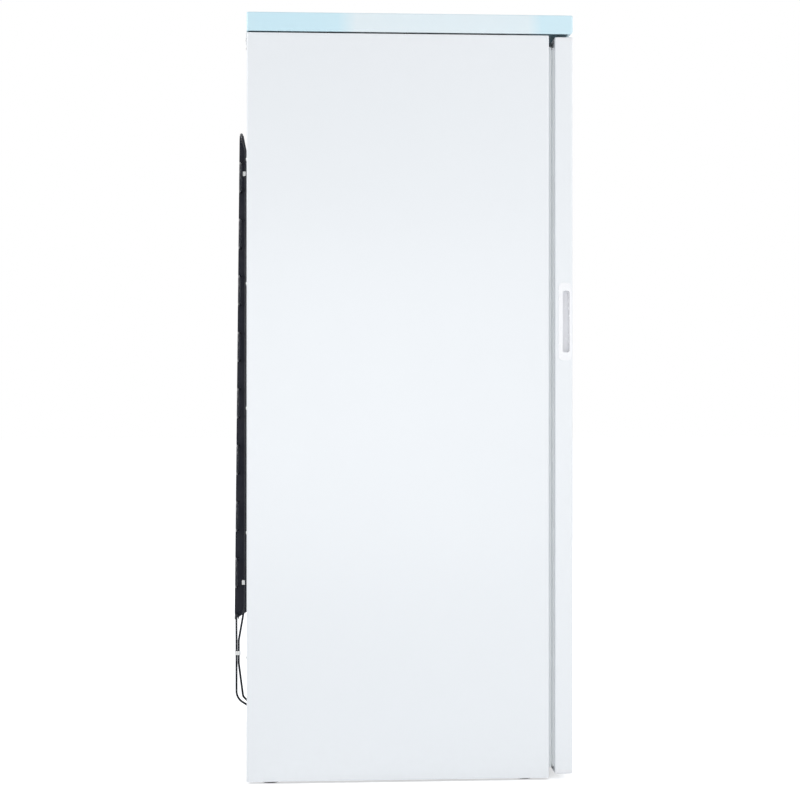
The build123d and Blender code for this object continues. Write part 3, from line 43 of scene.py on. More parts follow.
# The photograph's camera: level, a few degrees behind square, its frame shifted a little down
camera_azimuth = 266.5
camera_distance = 3.6006
camera_height = 0.7962
focal_pixels = 1750.0
frame_pixels = 800.0
centre_column = 394.3
horizon_row = 360.0
sensor_width = 36.0

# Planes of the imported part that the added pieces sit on
wall_back = 0.296
cabinet_front = -0.276
door_back = -0.287

# Condenser
condenser_top = 1.2294
condenser_lean = 0.0094
condenser_half_width = 0.245
condenser_foot_standoff = 0.02108
pass_count = 18
pass_pitch = 0.0544
pass_radius = 0.0024
wire_radius = 0.00075
wire_foot = 0.009
wires_per_face = 61
wire_field_half = 0.2
wire_stray = 0.0004
socket_radius = 0.0029

# The two lines between condenser and compressor space, and the tubes inside that space
line_radius = 0.002
line_bend = 0.012
outlet_bend = 0.025
riser_x = -0.228
riser_gap = 0.001
riser_lean = 0.002
riser_head_level = 1.1954
riser_foot_level = 0.326
band_reach = 0.0229
strand_gap = 0.0003
strand_head_level = 0.259
hot_gas_strand_foot = 0.215
hot_gas_turn_level = 0.150
hot_gas_entry_level = 0.122
outlet_strand_foot = 0.148
suction_radius = 0.0032
capillary_radius = 0.001
capillary_loop = 0.024
capillary_rise = 0.0032
capillary_turns = 6.5
drier_level = 0.116
roof_entry_level = 0.235

# Compressor and its relay
compressor_x = 0.060
compressor_y = 0.212
shell_half_length = 0.085
shell_half_depth = 0.068
shell_seam_level = 0.104
shell_port_level = 0.128
weld_radius = 0.0011
relay_reach = 0.0409
relay_half_depth = 0.0319
spring_radius = 0.0009

# Screws and bolts
back_screw_x = 0.2785
strip_screw_x = 0.2025
bracket_screw_x = 0.265
back_screw_levels = (0.235, 0.470, 0.705, 0.940, 1.175, 1.385)
strip_screw_levels = (0.370, 0.625, 0.895, 1.150)
bracket_screw_level = 1.403
hinge_plate = 0.0025
hinge_screw_level = 0.0143
carrier_bolt_x = 0.281
carrier_top = 0.014

# Thermostat and lamp housing, the dial's angles in degrees
housing_face = 0.226
housing_middle = 1.125
knob_y = -0.130
bulb_back = 0.004
lamp_axis_x = 0.244
dial_start = 230
dial_sweep = 280
dial_strokes = 15
dial_radius = 0.0245
number_radius = 0.0315
number_rise = 0.00008

# Levelling feet and door seal
foot_x = 0.273
foot_setback = 0.045
seal_half_width = 0.286
seal_foot = 0.021
seal_head = 1.392

# The ways that screws and turned pieces face
to_left = (-1, 0, 0)
to_front = (0, -1, 0)
to_rear = (0, 1, 0)
to_top = (0, 0, 1)


# Shader building

def add_node(tree, kind, **settings):
    """A node with its properties set."""
    node = tree.nodes.new(kind)
    for name, value in settings.items():
        setattr(node, name, value)
    return node


def feed(tree, target, value):
    """Give a socket a link or a plain value."""
    if isinstance(value, bpy.types.NodeSocket):
        tree.links.new(value, target)
    else:
        target.default_value = value


def arithmetic(tree, operation, first, second=0.0, third=0.0, clamp=False):
    node = add_node(tree, "ShaderNodeMath", operation=operation, use_clamp=clamp)
    feed(tree, node.inputs[0], first)
    feed(tree, node.inputs[1], second)
    feed(tree, node.inputs[2], third)
    return node.outputs[0]


def blend_colours(tree, factor, first, second):
    node = add_node(tree, "ShaderNodeMix", data_type="RGBA")
    feed(tree, node.inputs[0], factor)
    feed(tree, node.inputs[6], first)
    feed(tree, node.inputs[7], second)
    return node.outputs[2]


def spread(tree, value, low, high, new_low, new_high):
    """Map a value's range onto another, kept inside it."""
    node = add_node(tree, "ShaderNodeMapRange")
    feed(tree, node.inputs[0], value)
    feed(tree, node.inputs[1], low)
    feed(tree, node.inputs[2], high)
    feed(tree, node.inputs[3], new_low)
    feed(tree, node.inputs[4], new_high)
    return node.outputs[0]


def grain(tree, place, scale, detail=2.0, roughness=0.5, distortion=0.0):
    node = add_node(tree, "ShaderNodeTexNoise")
    feed(tree, node.inputs["Vector"], place)
    feed(tree, node.inputs["Scale"], scale)
    feed(tree, node.inputs["Detail"], detail)
    feed(tree, node.inputs["Roughness"], roughness)
    feed(tree, node.inputs["Distortion"], distortion)
    return node.outputs[0]


def stretched(tree, place, scale):
    node = add_node(tree, "ShaderNodeMapping")
    feed(tree, node.inputs["Vector"], place)
    feed(tree, node.inputs["Scale"], scale)
    return node.outputs[0]


def object_place(tree):
    return add_node(tree, "ShaderNodeTexCoord").outputs["Object"]


def axes_of(tree, vector):
    """The X, Y and Z outputs of a vector."""
    node = add_node(tree, "ShaderNodeSeparateXYZ")
    feed(tree, node.inputs[0], vector)
    return node.outputs


def surface_normal(tree):
    return add_node(tree, "ShaderNodeNewGeometry").outputs["Normal"]


def start_group(name, inputs, outputs):
    """An empty node group with typed sockets; returns it with its ends."""
    group = bpy.data.node_groups.new(name, "ShaderNodeTree")
    for label, kind, value in inputs:
        socket = group.interface.new_socket(label, in_out="INPUT", socket_type=kind)
        socket.default_value = value
    for label, kind in outputs:
        group.interface.new_socket(label, in_out="OUTPUT", socket_type=kind)
    ends = group.nodes.new("NodeGroupInput"), group.nodes.new("NodeGroupOutput")
    return group, ends[0].outputs, ends[1].inputs


NUMBER = "NodeSocketFloat"
COLOUR = "NodeSocketColor"
PLACE = "NodeSocketVector"


def make_sprayed_skin():
    """Sprayed or moulded surface: drifting tone, fine peel or grain, uneven gloss."""
    group, given, result = start_group(
        "sprayed_skin",
        [
            ("Tone", COLOUR, (1, 1, 1, 1)),
            ("Drift Tone", COLOUR, (1, 1, 1, 1)),
            ("Drift Scale", NUMBER, 3.0),
            ("Peel Scale", NUMBER, 900.0),
            ("Gloss Low", NUMBER, 0.2),
            ("Gloss High", NUMBER, 0.3),
        ],
        [("Tone", COLOUR), ("Roughness", NUMBER), ("Height", NUMBER)],
    )
    place = object_place(group)
    drift = grain(group, place, given["Drift Scale"], detail=3.0)
    drift = spread(group, drift, 0.35, 0.65, 0.0, 1.0)
    feed(group, result["Tone"], blend_colours(group, drift, given["Tone"], given["Drift Tone"]))
    smear = grain(group, place, arithmetic(group, "MULTIPLY", given["Drift Scale"], 6.0), detail=4.0)
    gloss = spread(group, smear, 0.35, 0.65, given["Gloss Low"], given["Gloss High"])
    feed(group, result["Roughness"], gloss)
    peel = grain(group, place, given["Peel Scale"], detail=1.5)
    swell = grain(group, place, arithmetic(group, "MULTIPLY", given["Peel Scale"], 0.16), detail=1.0)
    feed(group, result["Height"], arithmetic(group, "MULTIPLY_ADD", swell, 0.6, peel))
    return group


def make_settled_dust():
    """A little dust on faces that look up and close to the floor."""
    group, given, result = start_group(
        "settled_dust",
        [
            ("Tone", COLOUR, (1, 1, 1, 1)),
            ("Roughness", NUMBER, 0.3),
            ("Dust Tone", COLOUR, (0.5, 0.48, 0.45, 1)),
            ("Amount", NUMBER, 0.1),
            ("Floor Reach", NUMBER, 0.12),
        ],
        [("Tone", COLOUR), ("Roughness", NUMBER)],
    )
    place = object_place(group)
    upward = spread(group, axes_of(group, surface_normal(group))[2], 0.3, 1.0, 0.0, 1.0)
    low_down = spread(group, axes_of(group, place)[2], 0.0, given["Floor Reach"], 0.8, 0.0)
    flecks = spread(group, grain(group, place, 60.0, detail=5.0, roughness=0.65), 0.42, 0.7, 0.0, 1.0)
    cover = arithmetic(group, "MAXIMUM", upward, low_down)
    cover = arithmetic(group, "MULTIPLY", cover, arithmetic(group, "MULTIPLY_ADD", flecks, 0.7, 0.3))
    cover = arithmetic(group, "MULTIPLY", cover, given["Amount"], clamp=True)
    feed(group, result["Tone"], blend_colours(group, cover, given["Tone"], given["Dust Tone"]))
    dulled = arithmetic(group, "MULTIPLY_ADD", cover, 0.5, given["Roughness"], clamp=True)
    feed(group, result["Roughness"], dulled)
    return group


def make_drawn_lines():
    """Fine parallel lines of rolled or drawn metal, with dull patches."""
    group, given, result = start_group(
        "drawn_lines",
        [
            ("Tone", COLOUR, (1, 1, 1, 1)),
            ("Line Tone", COLOUR, (1, 1, 1, 1)),
            ("Line Spread", PLACE, (400.0, 20.0, 20.0)),
            ("Patch Scale", NUMBER, 25.0),
            ("Gloss Low", NUMBER, 0.25),
            ("Gloss High", NUMBER, 0.45),
        ],
        [("Tone", COLOUR), ("Roughness", NUMBER), ("Height", NUMBER)],
    )
    place = object_place(group)
    lines = grain(group, stretched(group, place, given["Line Spread"]), 1.0, detail=4.0, roughness=0.6)
    patch = grain(group, place, given["Patch Scale"], detail=3.0)
    mixed = arithmetic(group, "MULTIPLY_ADD", lines, 0.6, arithmetic(group, "MULTIPLY", patch, 0.4))
    share = spread(group, mixed, 0.35, 0.65, 0.0, 1.0)
    feed(group, result["Tone"], blend_colours(group, share, given["Tone"], given["Line Tone"]))
    gloss = spread(group, mixed, 0.35, 0.65, given["Gloss Low"], given["Gloss High"])
    feed(group, result["Roughness"], gloss)
    feed(group, result["Height"], lines)
    return group


def make_zinc_spangle():
    """The crystal pattern of hot-dipped steel."""
    group, given, result = start_group(
        "zinc_spangle",
        [
            ("Tone", COLOUR, (0.6, 0.62, 0.64, 1)),
            ("Bright Tone", COLOUR, (0.75, 0.77, 0.8, 1)),
            ("Crystal Scale", NUMBER, 90.0),
        ],
        [("Tone", COLOUR), ("Roughness", NUMBER), ("Height", NUMBER)],
    )
    place = object_place(group)
    cells = add_node(group, "ShaderNodeTexVoronoi")
    feed(group, cells.inputs["Vector"], place)
    feed(group, cells.inputs["Scale"], given["Crystal Scale"])
    shade = add_node(group, "ShaderNodeSeparateColor")
    feed(group, shade.inputs[0], cells.outputs["Color"])
    smear = grain(group, place, 14.0, detail=4.0)
    dull = arithmetic(group, "MULTIPLY", smear, 0.4)
    share = arithmetic(group, "MULTIPLY_ADD", shade.outputs[0], 0.6, dull)
    feed(group, result["Tone"], blend_colours(group, share, given["Tone"], given["Bright Tone"]))
    feed(group, result["Roughness"], spread(group, share, 0.0, 1.0, 0.38, 0.58))
    feed(group, result["Height"], shade.outputs[1])
    return group


sprayed_skin = make_sprayed_skin()
settled_dust = make_settled_dust()
drawn_lines = make_drawn_lines()
zinc_spangle = make_zinc_spangle()


def place_group(tree, group, **values):
    """Put a node group in a material; an underscore in a name stands for a space."""
    node = add_node(tree, "ShaderNodeGroup", node_tree=group)
    for name, value in values.items():
        feed(tree, node.inputs[name.replace("_", " ")], value)
    return node.outputs


def new_material(name, metallic=0.0, coat=0.0, coat_roughness=0.1, specular=0.5):
    """A material with its shader ready; returns material, tree and shader."""
    material = bpy.data.materials.new(name)
    material.use_nodes = True
    tree = material.node_tree
    shader = tree.nodes["Principled BSDF"]
    shader.inputs["Metallic"].default_value = metallic
    shader.inputs["Coat Weight"].default_value = coat
    shader.inputs["Coat Roughness"].default_value = coat_roughness
    shader.inputs["Specular IOR Level"].default_value = specular
    return material, tree, shader


def raise_surface(tree, shader, height, strength, distance):
    bump = add_node(tree, "ShaderNodeBump")
    bump.inputs["Strength"].default_value = strength
    bump.inputs["Distance"].default_value = distance
    feed(tree, bump.inputs["Height"], height)
    feed(tree, shader.inputs["Normal"], bump.outputs[0])


def finish_surface(tree, shader, skin, dust, relief, depth, **dust_values):
    """Settle dust on a skin and give its tone, gloss and relief to the shader."""
    film = place_group(tree, settled_dust, Tone=skin["Tone"], Roughness=skin["Roughness"],
                       Amount=dust, **dust_values)
    feed(tree, shader.inputs["Base Color"], film["Tone"])
    feed(tree, shader.inputs["Roughness"], film["Roughness"])
    raise_surface(tree, shader, skin["Height"], relief, depth)


def coloured(red, green, blue):
    return (red, green, blue, 1.0)


def skin_material(name, tone, drift_tone, gloss, dust=0.06, drift_scale=3.0, peel_scale=900.0,
                  peel=0.05, peel_depth=0.0002, dust_tone=coloured(0.46, 0.44, 0.41), **shader_values):
    """Paint or moulded plastic from the two shared groups."""
    material, tree, shader = new_material(name, **shader_values)
    skin = place_group(tree, sprayed_skin, Tone=tone, Drift_Tone=drift_tone, Drift_Scale=drift_scale,
                       Peel_Scale=peel_scale, Gloss_Low=gloss[0], Gloss_High=gloss[1])
    finish_surface(tree, shader, skin, dust, peel, peel_depth, Dust_Tone=dust_tone)
    return material


def metal_material(name, tone, line_tone, spread_of_lines, gloss, dust=0.1, relief=0.1):
    """Bare metal with drawn lines and some dust."""
    material, tree, shader = new_material(name, metallic=1.0)
    skin = place_group(tree, drawn_lines, Tone=tone, Line_Tone=line_tone, Line_Spread=spread_of_lines,
                       Gloss_Low=gloss[0], Gloss_High=gloss[1])
    finish_surface(tree, shader, skin, dust, relief, 0.0001)
    return material


def white_enamel():
    return skin_material("white_enamel", coloured(0.872, 0.898, 0.928), coloured(0.88, 0.905, 0.933),
                         (0.3, 0.33), drift_scale=0.7, peel_scale=700.0, peel=0.04,
                         coat=0.2, coat_roughness=0.14)


def worktop_blue():
    """Pale blue moulding. Its sides and underside are bluer at the two ends and paler between, a painted
    highlight along the middle; its top face keeps one even blue.
    """
    material, tree, shader = new_material("worktop_blue", coat=0.2)
    depth = axes_of(tree, object_place(tree))[1]
    # Painted highlight: a depth mask, 0 along the middle of the worktop's length and rising to 1 at the
    # rear and 0.85 at the front, where the sides are painted bluer
    rear = spread(tree, depth, 0.09, 0.125, 0.0, 1.0)
    front = spread(tree, depth, -0.235, -0.262, 0.0, 0.85)
    ends = arithmetic(tree, "MAXIMUM", rear, front)
    # Only faces that do not look up carry the painted highlight; the top face takes the fixed share on_top
    painted_highlight_faces = spread(tree, axes_of(tree, surface_normal(tree))[2], 0.5, 0.9, 1.0, 0.0)
    on_top = 0.7
    ends = arithmetic(tree, "MULTIPLY_ADD", arithmetic(tree, "SUBTRACT", ends, on_top), painted_highlight_faces, on_top)
    blue = blend_colours(tree, ends, coloured(0.8, 0.905, 0.955), coloured(0.634, 0.866, 0.965))
    paler = blend_colours(tree, ends, coloured(0.825, 0.915, 0.955), coloured(0.66, 0.88, 0.965))
    skin = place_group(tree, sprayed_skin, Tone=blue, Drift_Tone=paler, Drift_Scale=7.0,
                       Peel_Scale=1400.0, Gloss_Low=0.28, Gloss_High=0.4)
    finish_surface(tree, shader, skin, 0.04, 0.1, 0.0002)
    return material


def door_cap_white():
    return skin_material("door_cap_white", coloured(0.86, 0.87, 0.9), coloured(0.88, 0.89, 0.915),
                         (0.32, 0.42), drift_scale=5.0, peel_scale=1800.0, peel=0.15)


def grip_moulding():
    return skin_material("grip_moulding", coloured(0.95, 0.955, 0.98), coloured(0.96, 0.965, 0.99),
                         (0.2, 0.28), dust=0.02, drift_scale=20.0, peel_scale=2200.0, peel=0.06)


def interior_moulding():
    return skin_material("interior_moulding", coloured(0.86, 0.88, 0.9), coloured(0.89, 0.9, 0.915),
                         (0.28, 0.4), drift_scale=8.0, peel_scale=1500.0, peel=0.1)


def liner_sheet():
    return skin_material("liner_sheet", coloured(0.88, 0.9, 0.91), coloured(0.9, 0.915, 0.925),
                         (0.18, 0.26), dust=0.02, drift_scale=4.0, peel_scale=260.0, peel=0.05, coat=0.3)


def coated_sheet():
    return skin_material("coated_sheet", coloured(0.74, 0.76, 0.78), coloured(0.78, 0.8, 0.815),
                         (0.38, 0.5), dust=0.12, drift_scale=2.0, peel_scale=500.0, peel=0.1)


def seal_vinyl():
    """Grey vinyl: the magnet's sleeve mid grey, the bellows and the foot pale, the neck darker as painted
    shade in its recess.
    """
    material, tree, shader = new_material("seal_vinyl")
    depth = axes_of(tree, object_place(tree))[1]
    sleeve = spread(tree, depth, -0.2799, -0.2796, 0.0, 1.0)
    # Painted shade: the neck, between the foot and the bellows, is darkened for the shade that falls in its
    # recess
    past_foot = spread(tree, depth, -0.2845, -0.2843, 0.0, 1.0)
    before_bellows = spread(tree, depth, -0.2826, -0.2824, 1.0, 0.0)
    neck = arithmetic(tree, "MULTIPLY", past_foot, before_bellows)
    tone = blend_colours(tree, sleeve, coloured(0.95, 0.965, 0.97), coloured(0.885, 0.92, 0.93))
    tone = blend_colours(tree, neck, tone, coloured(0.78, 0.83, 0.845))
    # The drift tone is 70 percent the banded tone, so it carries the same painted shade on the neck
    worn_and_painted_shade = blend_colours(tree, 0.3, tone, coloured(0.9, 0.93, 0.94))
    skin = place_group(tree, sprayed_skin, Tone=tone, Drift_Tone=worn_and_painted_shade, Drift_Scale=9.0,
                       Peel_Scale=1600.0, Gloss_Low=0.42, Gloss_High=0.55)
    finish_surface(tree, shader, skin, 0.04, 0.14, 0.0002)
    return material


def poured_foam():
    return skin_material("poured_foam", coloured(0.82, 0.8, 0.72), coloured(0.86, 0.845, 0.78),
                         (0.8, 0.95), drift_scale=12.0, peel_scale=420.0, peel=0.6, peel_depth=0.001)


def black_enamel():
    """The glossy black of the condenser's tubes and wires."""
    return skin_material("black_enamel", coloured(0.005, 0.0075, 0.016), coloured(0.009, 0.01, 0.018),
                         (0.12, 0.18), dust=0.03, drift_scale=14.0, peel_scale=1200.0, peel=0.03,
                         dust_tone=coloured(0.16, 0.15, 0.16), specular=0.45)


def strip_enamel():
    """The duller black of the condenser's flat strips."""
    return skin_material("strip_enamel", coloured(0.006, 0.0085, 0.018), coloured(0.012, 0.013, 0.022),
                         (0.42, 0.55), dust=0.05, drift_scale=14.0, peel_scale=1200.0, peel=0.06,
                         dust_tone=coloured(0.16, 0.15, 0.16), specular=0.2)


def compressor_black():
    return skin_material("compressor_black", coloured(0.014, 0.014, 0.016), coloured(0.022, 0.022, 0.025),
                         (0.32, 0.5), dust=0.3, drift_scale=10.0, peel_scale=900.0, peel=0.25,
                         dust_tone=coloured(0.25, 0.24, 0.22), coat=0.2)


def black_rubber():
    return skin_material("black_rubber", coloured(0.018, 0.018, 0.019), coloured(0.03, 0.03, 0.031),
                         (0.6, 0.78), dust=0.25, drift_scale=30.0, peel_scale=1500.0, peel=0.3)


def black_moulding():
    return skin_material("black_moulding", coloured(0.02, 0.02, 0.022), coloured(0.03, 0.03, 0.033),
                         (0.4, 0.52), dust=0.2, drift_scale=18.0, peel_scale=2400.0, peel=0.25)


def grey_moulding():
    return skin_material("grey_moulding", coloured(0.5, 0.53, 0.56), coloured(0.55, 0.58, 0.6),
                         (0.35, 0.5), drift_scale=15.0, peel_scale=1800.0, peel=0.15)


def white_nylon():
    return skin_material("white_nylon", coloured(0.84, 0.84, 0.83), coloured(0.88, 0.88, 0.87),
                         (0.4, 0.52), drift_scale=40.0, peel_scale=2600.0, peel=0.1)


def rolled_aluminium():
    return metal_material("rolled_aluminium", coloured(0.72, 0.74, 0.76), coloured(0.8, 0.82, 0.84),
                          (6.0, 260.0, 260.0), (0.34, 0.5))


def drawn_copper():
    return metal_material("drawn_copper", coloured(0.6, 0.28, 0.16), coloured(0.78, 0.42, 0.27),
                          (60.0, 300.0, 60.0), (0.28, 0.45), dust=0.2)


def zinc_steel():
    """Hot-dipped steel of the base, the hinges and the brackets."""
    material, tree, shader = new_material("zinc_steel", metallic=0.9)
    skin = place_group(tree, zinc_spangle, Tone=coloured(0.46, 0.48, 0.5),
                       Bright_Tone=coloured(0.64, 0.66, 0.69))
    finish_surface(tree, shader, skin, 0.2, 0.08, 0.0002)
    return material


def plated_screw():
    """Bright zinc-plated steel of screws, bolts and springs."""
    return metal_material("plated_screw", coloured(0.62, 0.63, 0.62), coloured(0.74, 0.75, 0.73),
                          (500.0, 500.0, 500.0), (0.24, 0.4), dust=0.15, relief=0.05)


def clear_material(name, tone, drift_tone, gloss, index, peel=0.04):
    """Clear glass or plastic whose tint and gloss drift."""
    material, tree, shader = new_material(name)
    skin = place_group(tree, sprayed_skin, Tone=tone, Drift_Tone=drift_tone, Drift_Scale=6.0,
                       Peel_Scale=300.0, Gloss_Low=gloss[0], Gloss_High=gloss[1])
    feed(tree, shader.inputs["Base Color"], skin["Tone"])
    feed(tree, shader.inputs["Roughness"], skin["Roughness"])
    shader.inputs["Transmission Weight"].default_value = 1.0
    shader.inputs["IOR"].default_value = index
    raise_surface(tree, shader, skin["Height"], peel, 0.0001)
    return material


def shelf_pane():
    return clear_material("shelf_pane", coloured(0.86, 0.95, 0.92), coloured(0.9, 0.97, 0.95),
                          (0.02, 0.05), 1.5)


def clear_moulding():
    return clear_material("clear_moulding", coloured(0.945, 0.97, 0.98), coloured(0.96, 0.98, 0.99),
                          (0.06, 0.12), 1.3, peel=0.1)


def bulb_glass():
    return clear_material("bulb_glass", coloured(0.97, 0.95, 0.88), coloured(0.99, 0.97, 0.93),
                          (0.2, 0.3), 1.4)


racks = [name for name in nodes if name.startswith("door_rack")]
panes = [name for name in nodes if name.startswith("shelf_glass")]
finishes = [
    (white_enamel, ["side_panel_left", "side_panel_right", "top_front_rail", "bottom_front_rail",
                    "door_outer_panel"]),
    (worktop_blue, ["worktop"]),
    (door_cap_white, ["door_top_cap", "door_bottom_cap"]),
    (grip_moulding, ["grip_cup"]),
    (interior_moulding, ["icebox_collar", "thermostat_housing", "thermostat_knob", "shelf_trims"]),
    (liner_sheet, ["inner_liner", "door_liner"]),
    (coated_sheet, ["back_panel", "top_panel"]),
    (seal_vinyl, ["door_gasket"]),
    (poured_foam, ["cabinet_foam", "door_foam"]),
    (black_enamel, ["condenser_tube", "condenser_wires", "hot_gas_tube", "condenser_outlet_tube"]),
    (strip_enamel, ["condenser_strips"]),
    (compressor_black, ["compressor_shell"]),
    (black_rubber, ["compressor_mounts", "levelling_foot_left", "levelling_foot_right", "rear_feet"]),
    (black_moulding, ["relay_box", "cord_gland", "evaporation_tray"]),
    (grey_moulding, ["drain_tube", "door_switch_plunger"]),
    (white_nylon, ["tube_tie", "condenser_clips", "hinge_bushes"]),
    (rolled_aluminium, ["evaporator_sleeve"]),
    (drawn_copper, ["filter_drier", "capillary_tube", "suction_tube"]),
    (zinc_steel, ["underside_pan", "base_channels", "compressor_carrier", "worktop_brackets",
                  "top_hinge", "bottom_hinge"]),
    (shelf_pane, panes + ["crisper_cover"]),
    (clear_moulding, racks + ["crisper_drawer", "icebox_flap", "lamp_cover"]),
    (bulb_glass, ["lamp_bulb"]),
    (plated_screw, []),
]


def dress(piece, material):
    piece.data.materials.clear()
    piece.data.materials.append(material)


made = {}
for maker, names in finishes:
    made[maker.__name__] = maker()
    for name in names:
        dress(nodes[name], made[maker.__name__])


# Mesh building

def add_piece(name, points, faces, material, slot, body, sharp=40.0):
    """A mesh in the row's frame, smooth but for its edges, riding on a body."""
    mesh = bpy.data.meshes.new(name)
    mesh.from_pydata(points, [], faces)
    mesh.validate()
    mesh.shade_smooth()
    mesh.set_sharp_from_angle(angle=radians(sharp))
    piece = bpy.data.objects.new(name, mesh)
    bpy.context.scene.collection.objects.link(piece)
    dress(piece, material)
    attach(piece, body)
    return piece


def ring_faces(start, next_start, count):
    """Quads between two rings of points."""
    faces = []
    for index in range(count):
        after = (index + 1) % count
        faces.append((start + index, start + after, next_start + after, next_start + index))
    return faces


def bent_path(corners, bends, steps=10):
    """The centre line of a bent tube: straight runs with a round bend at each corner."""
    corners = [Vector(corner) for corner in corners]
    path = [corners[0]]
    for before, corner, after, bend in zip(corners, corners[1:], corners[2:], bends):
        back = (before - corner).normalized()
        onward = (after - corner).normalized()
        half = back.angle(onward) / 2
        centre = corner + (back + onward).normalized() * (bend / sin(half))
        start = corner + back * (bend / tan(half)) - centre
        end = corner + onward * (bend / tan(half)) - centre
        for step in range(steps + 1):
            arm = start.normalized().slerp(end.normalized(), step / steps)
            path.append(centre + arm * bend)
    path.append(corners[-1])
    return path


def swept_tube(path, radius, sides, closed=False):
    """Points and faces of a round tube along a path, its rings turned without twist."""
    count = len(path)
    points = []
    faces = []
    side = None
    for index, centre in enumerate(path):
        before = path[index - 1] if index or closed else centre
        after = path[(index + 1) % count] if index < count - 1 or closed else centre
        way = (after - before).normalized()
        if side is None:
            side = way.orthogonal().normalized()
        side = (side - way * side.dot(way)).normalized()
        over = way.cross(side)
        for corner in range(sides):
            angle = 2 * pi * corner / sides
            points.append(centre + (side * cos(angle) + over * sin(angle)) * radius)
    for index in range(count - 1):
        faces += ring_faces(index * sides, (index + 1) * sides, sides)
    if closed:
        faces += ring_faces((count - 1) * sides, 0, sides)
    else:
        faces.append(tuple(reversed(range(sides))))
        faces.append(tuple(range((count - 1) * sides, count * sides)))
    return points, faces


def turned(outline, centre, axis, sides, ripple=0.0, ripples=0):
    """Points and faces of a turned form: (radius, height) pairs about an axis, its rim rippled."""
    axis = Vector(axis)
    side = axis.orthogonal().normalized()
    over = axis.cross(side)
    points = []
    faces = []
    for radius, height in outline:
        for corner in range(sides):
            angle = 2 * pi * corner / sides
            reach = radius - ripple * (1 - cos(ripples * angle)) / 2 if ripples else radius
            points.append(Vector(centre) + axis * height + (side * cos(angle) + over * sin(angle)) * reach)
    for index in range(len(outline) - 1):
        faces += ring_faces(index * sides, (index + 1) * sides, sides)
    faces.append(tuple(reversed(range(sides))))
    faces.append(tuple(range((len(outline) - 1) * sides, len(outline) * sides)))
    return points, faces


def joined(parts):
    """Several sets of points and faces as one."""
    points = []
    faces = []
    for some_points, some_faces in parts:
        shift = len(points)
        points += some_points
        faces += [tuple(index + shift for index in face) for face in some_faces]
    return points, faces


# Condenser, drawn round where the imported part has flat-sided tubes and fewer wires

condenser_drop = pass_pitch * (pass_count - 1)
lean_angle = atan2(condenser_lean, condenser_drop)
free_end = -riser_x - 2 * line_bend


def lean_point(x, standoff, drop):
    """A point of the condenser, by its distance out from the passes' plane and below the top pass."""
    head = wall_back + condenser_foot_standoff - condenser_lean
    return Vector((x, head + standoff * cos(lean_angle) + drop * sin(lean_angle),
                   condenser_top + standoff * sin(lean_angle) - drop * cos(lean_angle)))


def condenser_passes():
    """The serpentine: level passes joined by half-round bends."""
    bend = pass_pitch / 2
    end = condenser_half_width - pass_radius - bend
    steps = 16
    path = []
    for index in range(pass_count):
        side = -1 if index % 2 == 0 else 1
        first_end = free_end if index == 0 else end
        path.append(lean_point(side * first_end, 0, index * pass_pitch))
        last_end = free_end if index == pass_count - 1 else end
        path.append(lean_point(-side * last_end, 0, index * pass_pitch))
        if index < pass_count - 1:
            for step in range(1, steps):
                angle = pi * step / steps
                path.append(lean_point(-side * (end + bend * sin(angle)), 0,
                                       (index + 0.5) * pass_pitch - bend * cos(angle)))
    return swept_tube(path, pass_radius, 14)


def condenser_wire_grid():
    """Fine upright wires on both faces of the passes, each a hair out of line."""
    dice = Random(11)
    standoff = pass_radius + wire_radius + 0.00002
    wires = []
    for face in (-1, 1):
        for index in range(wires_per_face):
            x = -wire_field_half + 2 * wire_field_half * index / (wires_per_face - 1)
            head_x = x + dice.uniform(-wire_stray, wire_stray)
            foot_x = x + dice.uniform(-wire_stray, wire_stray)
            head = lean_point(head_x, face * standoff, 0)
            foot = lean_point(foot_x, face * standoff, condenser_drop + wire_foot)
            wires.append(swept_tube([head, foot], wire_radius, 8))
    return joined(wires)


def brazed_joints():
    """The swaged sockets where the two lines are brazed to the first and last pass."""
    joints = []
    for drop in (0, condenser_drop):
        path = [lean_point(-free_end + 0.001, 0, drop), lean_point(-free_end - 0.011, 0, drop)]
        joints.append(swept_tube(path, socket_radius, 18))
    return joined(joints)


def riser_y(level):
    """The hot gas line's depth behind the condenser, a little further out towards its foot."""
    return wall_back + riser_gap + line_radius + riser_lean * (condenser_top - level) / condenser_drop


def strand_y(index):
    """The two strands in the white band, 0 the outer one."""
    return wall_back + band_reach - line_radius - index * (2 * line_radius + strand_gap)


def hot_gas_line():
    corners = [
        lean_point(-free_end, 0, 0),
        lean_point(riser_x, 0, 0),
        (riser_x, riser_y(riser_head_level), riser_head_level),
        (riser_x, riser_y(riser_foot_level), riser_foot_level),
        (riser_x, strand_y(1), strand_head_level),
        (riser_x, strand_y(1), hot_gas_strand_foot),
        (riser_x + 0.008, wall_back + 0.0085, hot_gas_turn_level),
        (riser_x + 0.016, wall_back - 0.018, hot_gas_entry_level),
        (riser_x + 0.048, wall_back - 0.030, hot_gas_entry_level),
        (compressor_x - shell_half_length / 2, compressor_y + shell_half_depth / 2, shell_port_level),
    ]
    return swept_tube(bent_path(corners, [line_bend] * 8), line_radius, 14)


def outlet_line():
    corners = [
        lean_point(-free_end, 0, condenser_drop),
        lean_point(riser_x, 0, condenser_drop),
        (riser_x, strand_y(0), strand_head_level),
        (riser_x, strand_y(0), outlet_strand_foot),
        (riser_x, wall_back - 0.030, drier_level),
        (riser_x, wall_back - 0.036, drier_level),
    ]
    return swept_tube(bent_path(corners, [line_bend, line_bend, outlet_bend, line_bend]), line_radius, 14)


def suction_line():
    x = compressor_x + shell_half_length + 3 * line_bend
    corners = [
        (compressor_x + shell_half_length / 2, compressor_y, shell_port_level),
        (x, compressor_y, shell_port_level),
        (x, compressor_y, roof_entry_level),
    ]
    return swept_tube(bent_path(corners, [line_bend]), suction_radius, 18)


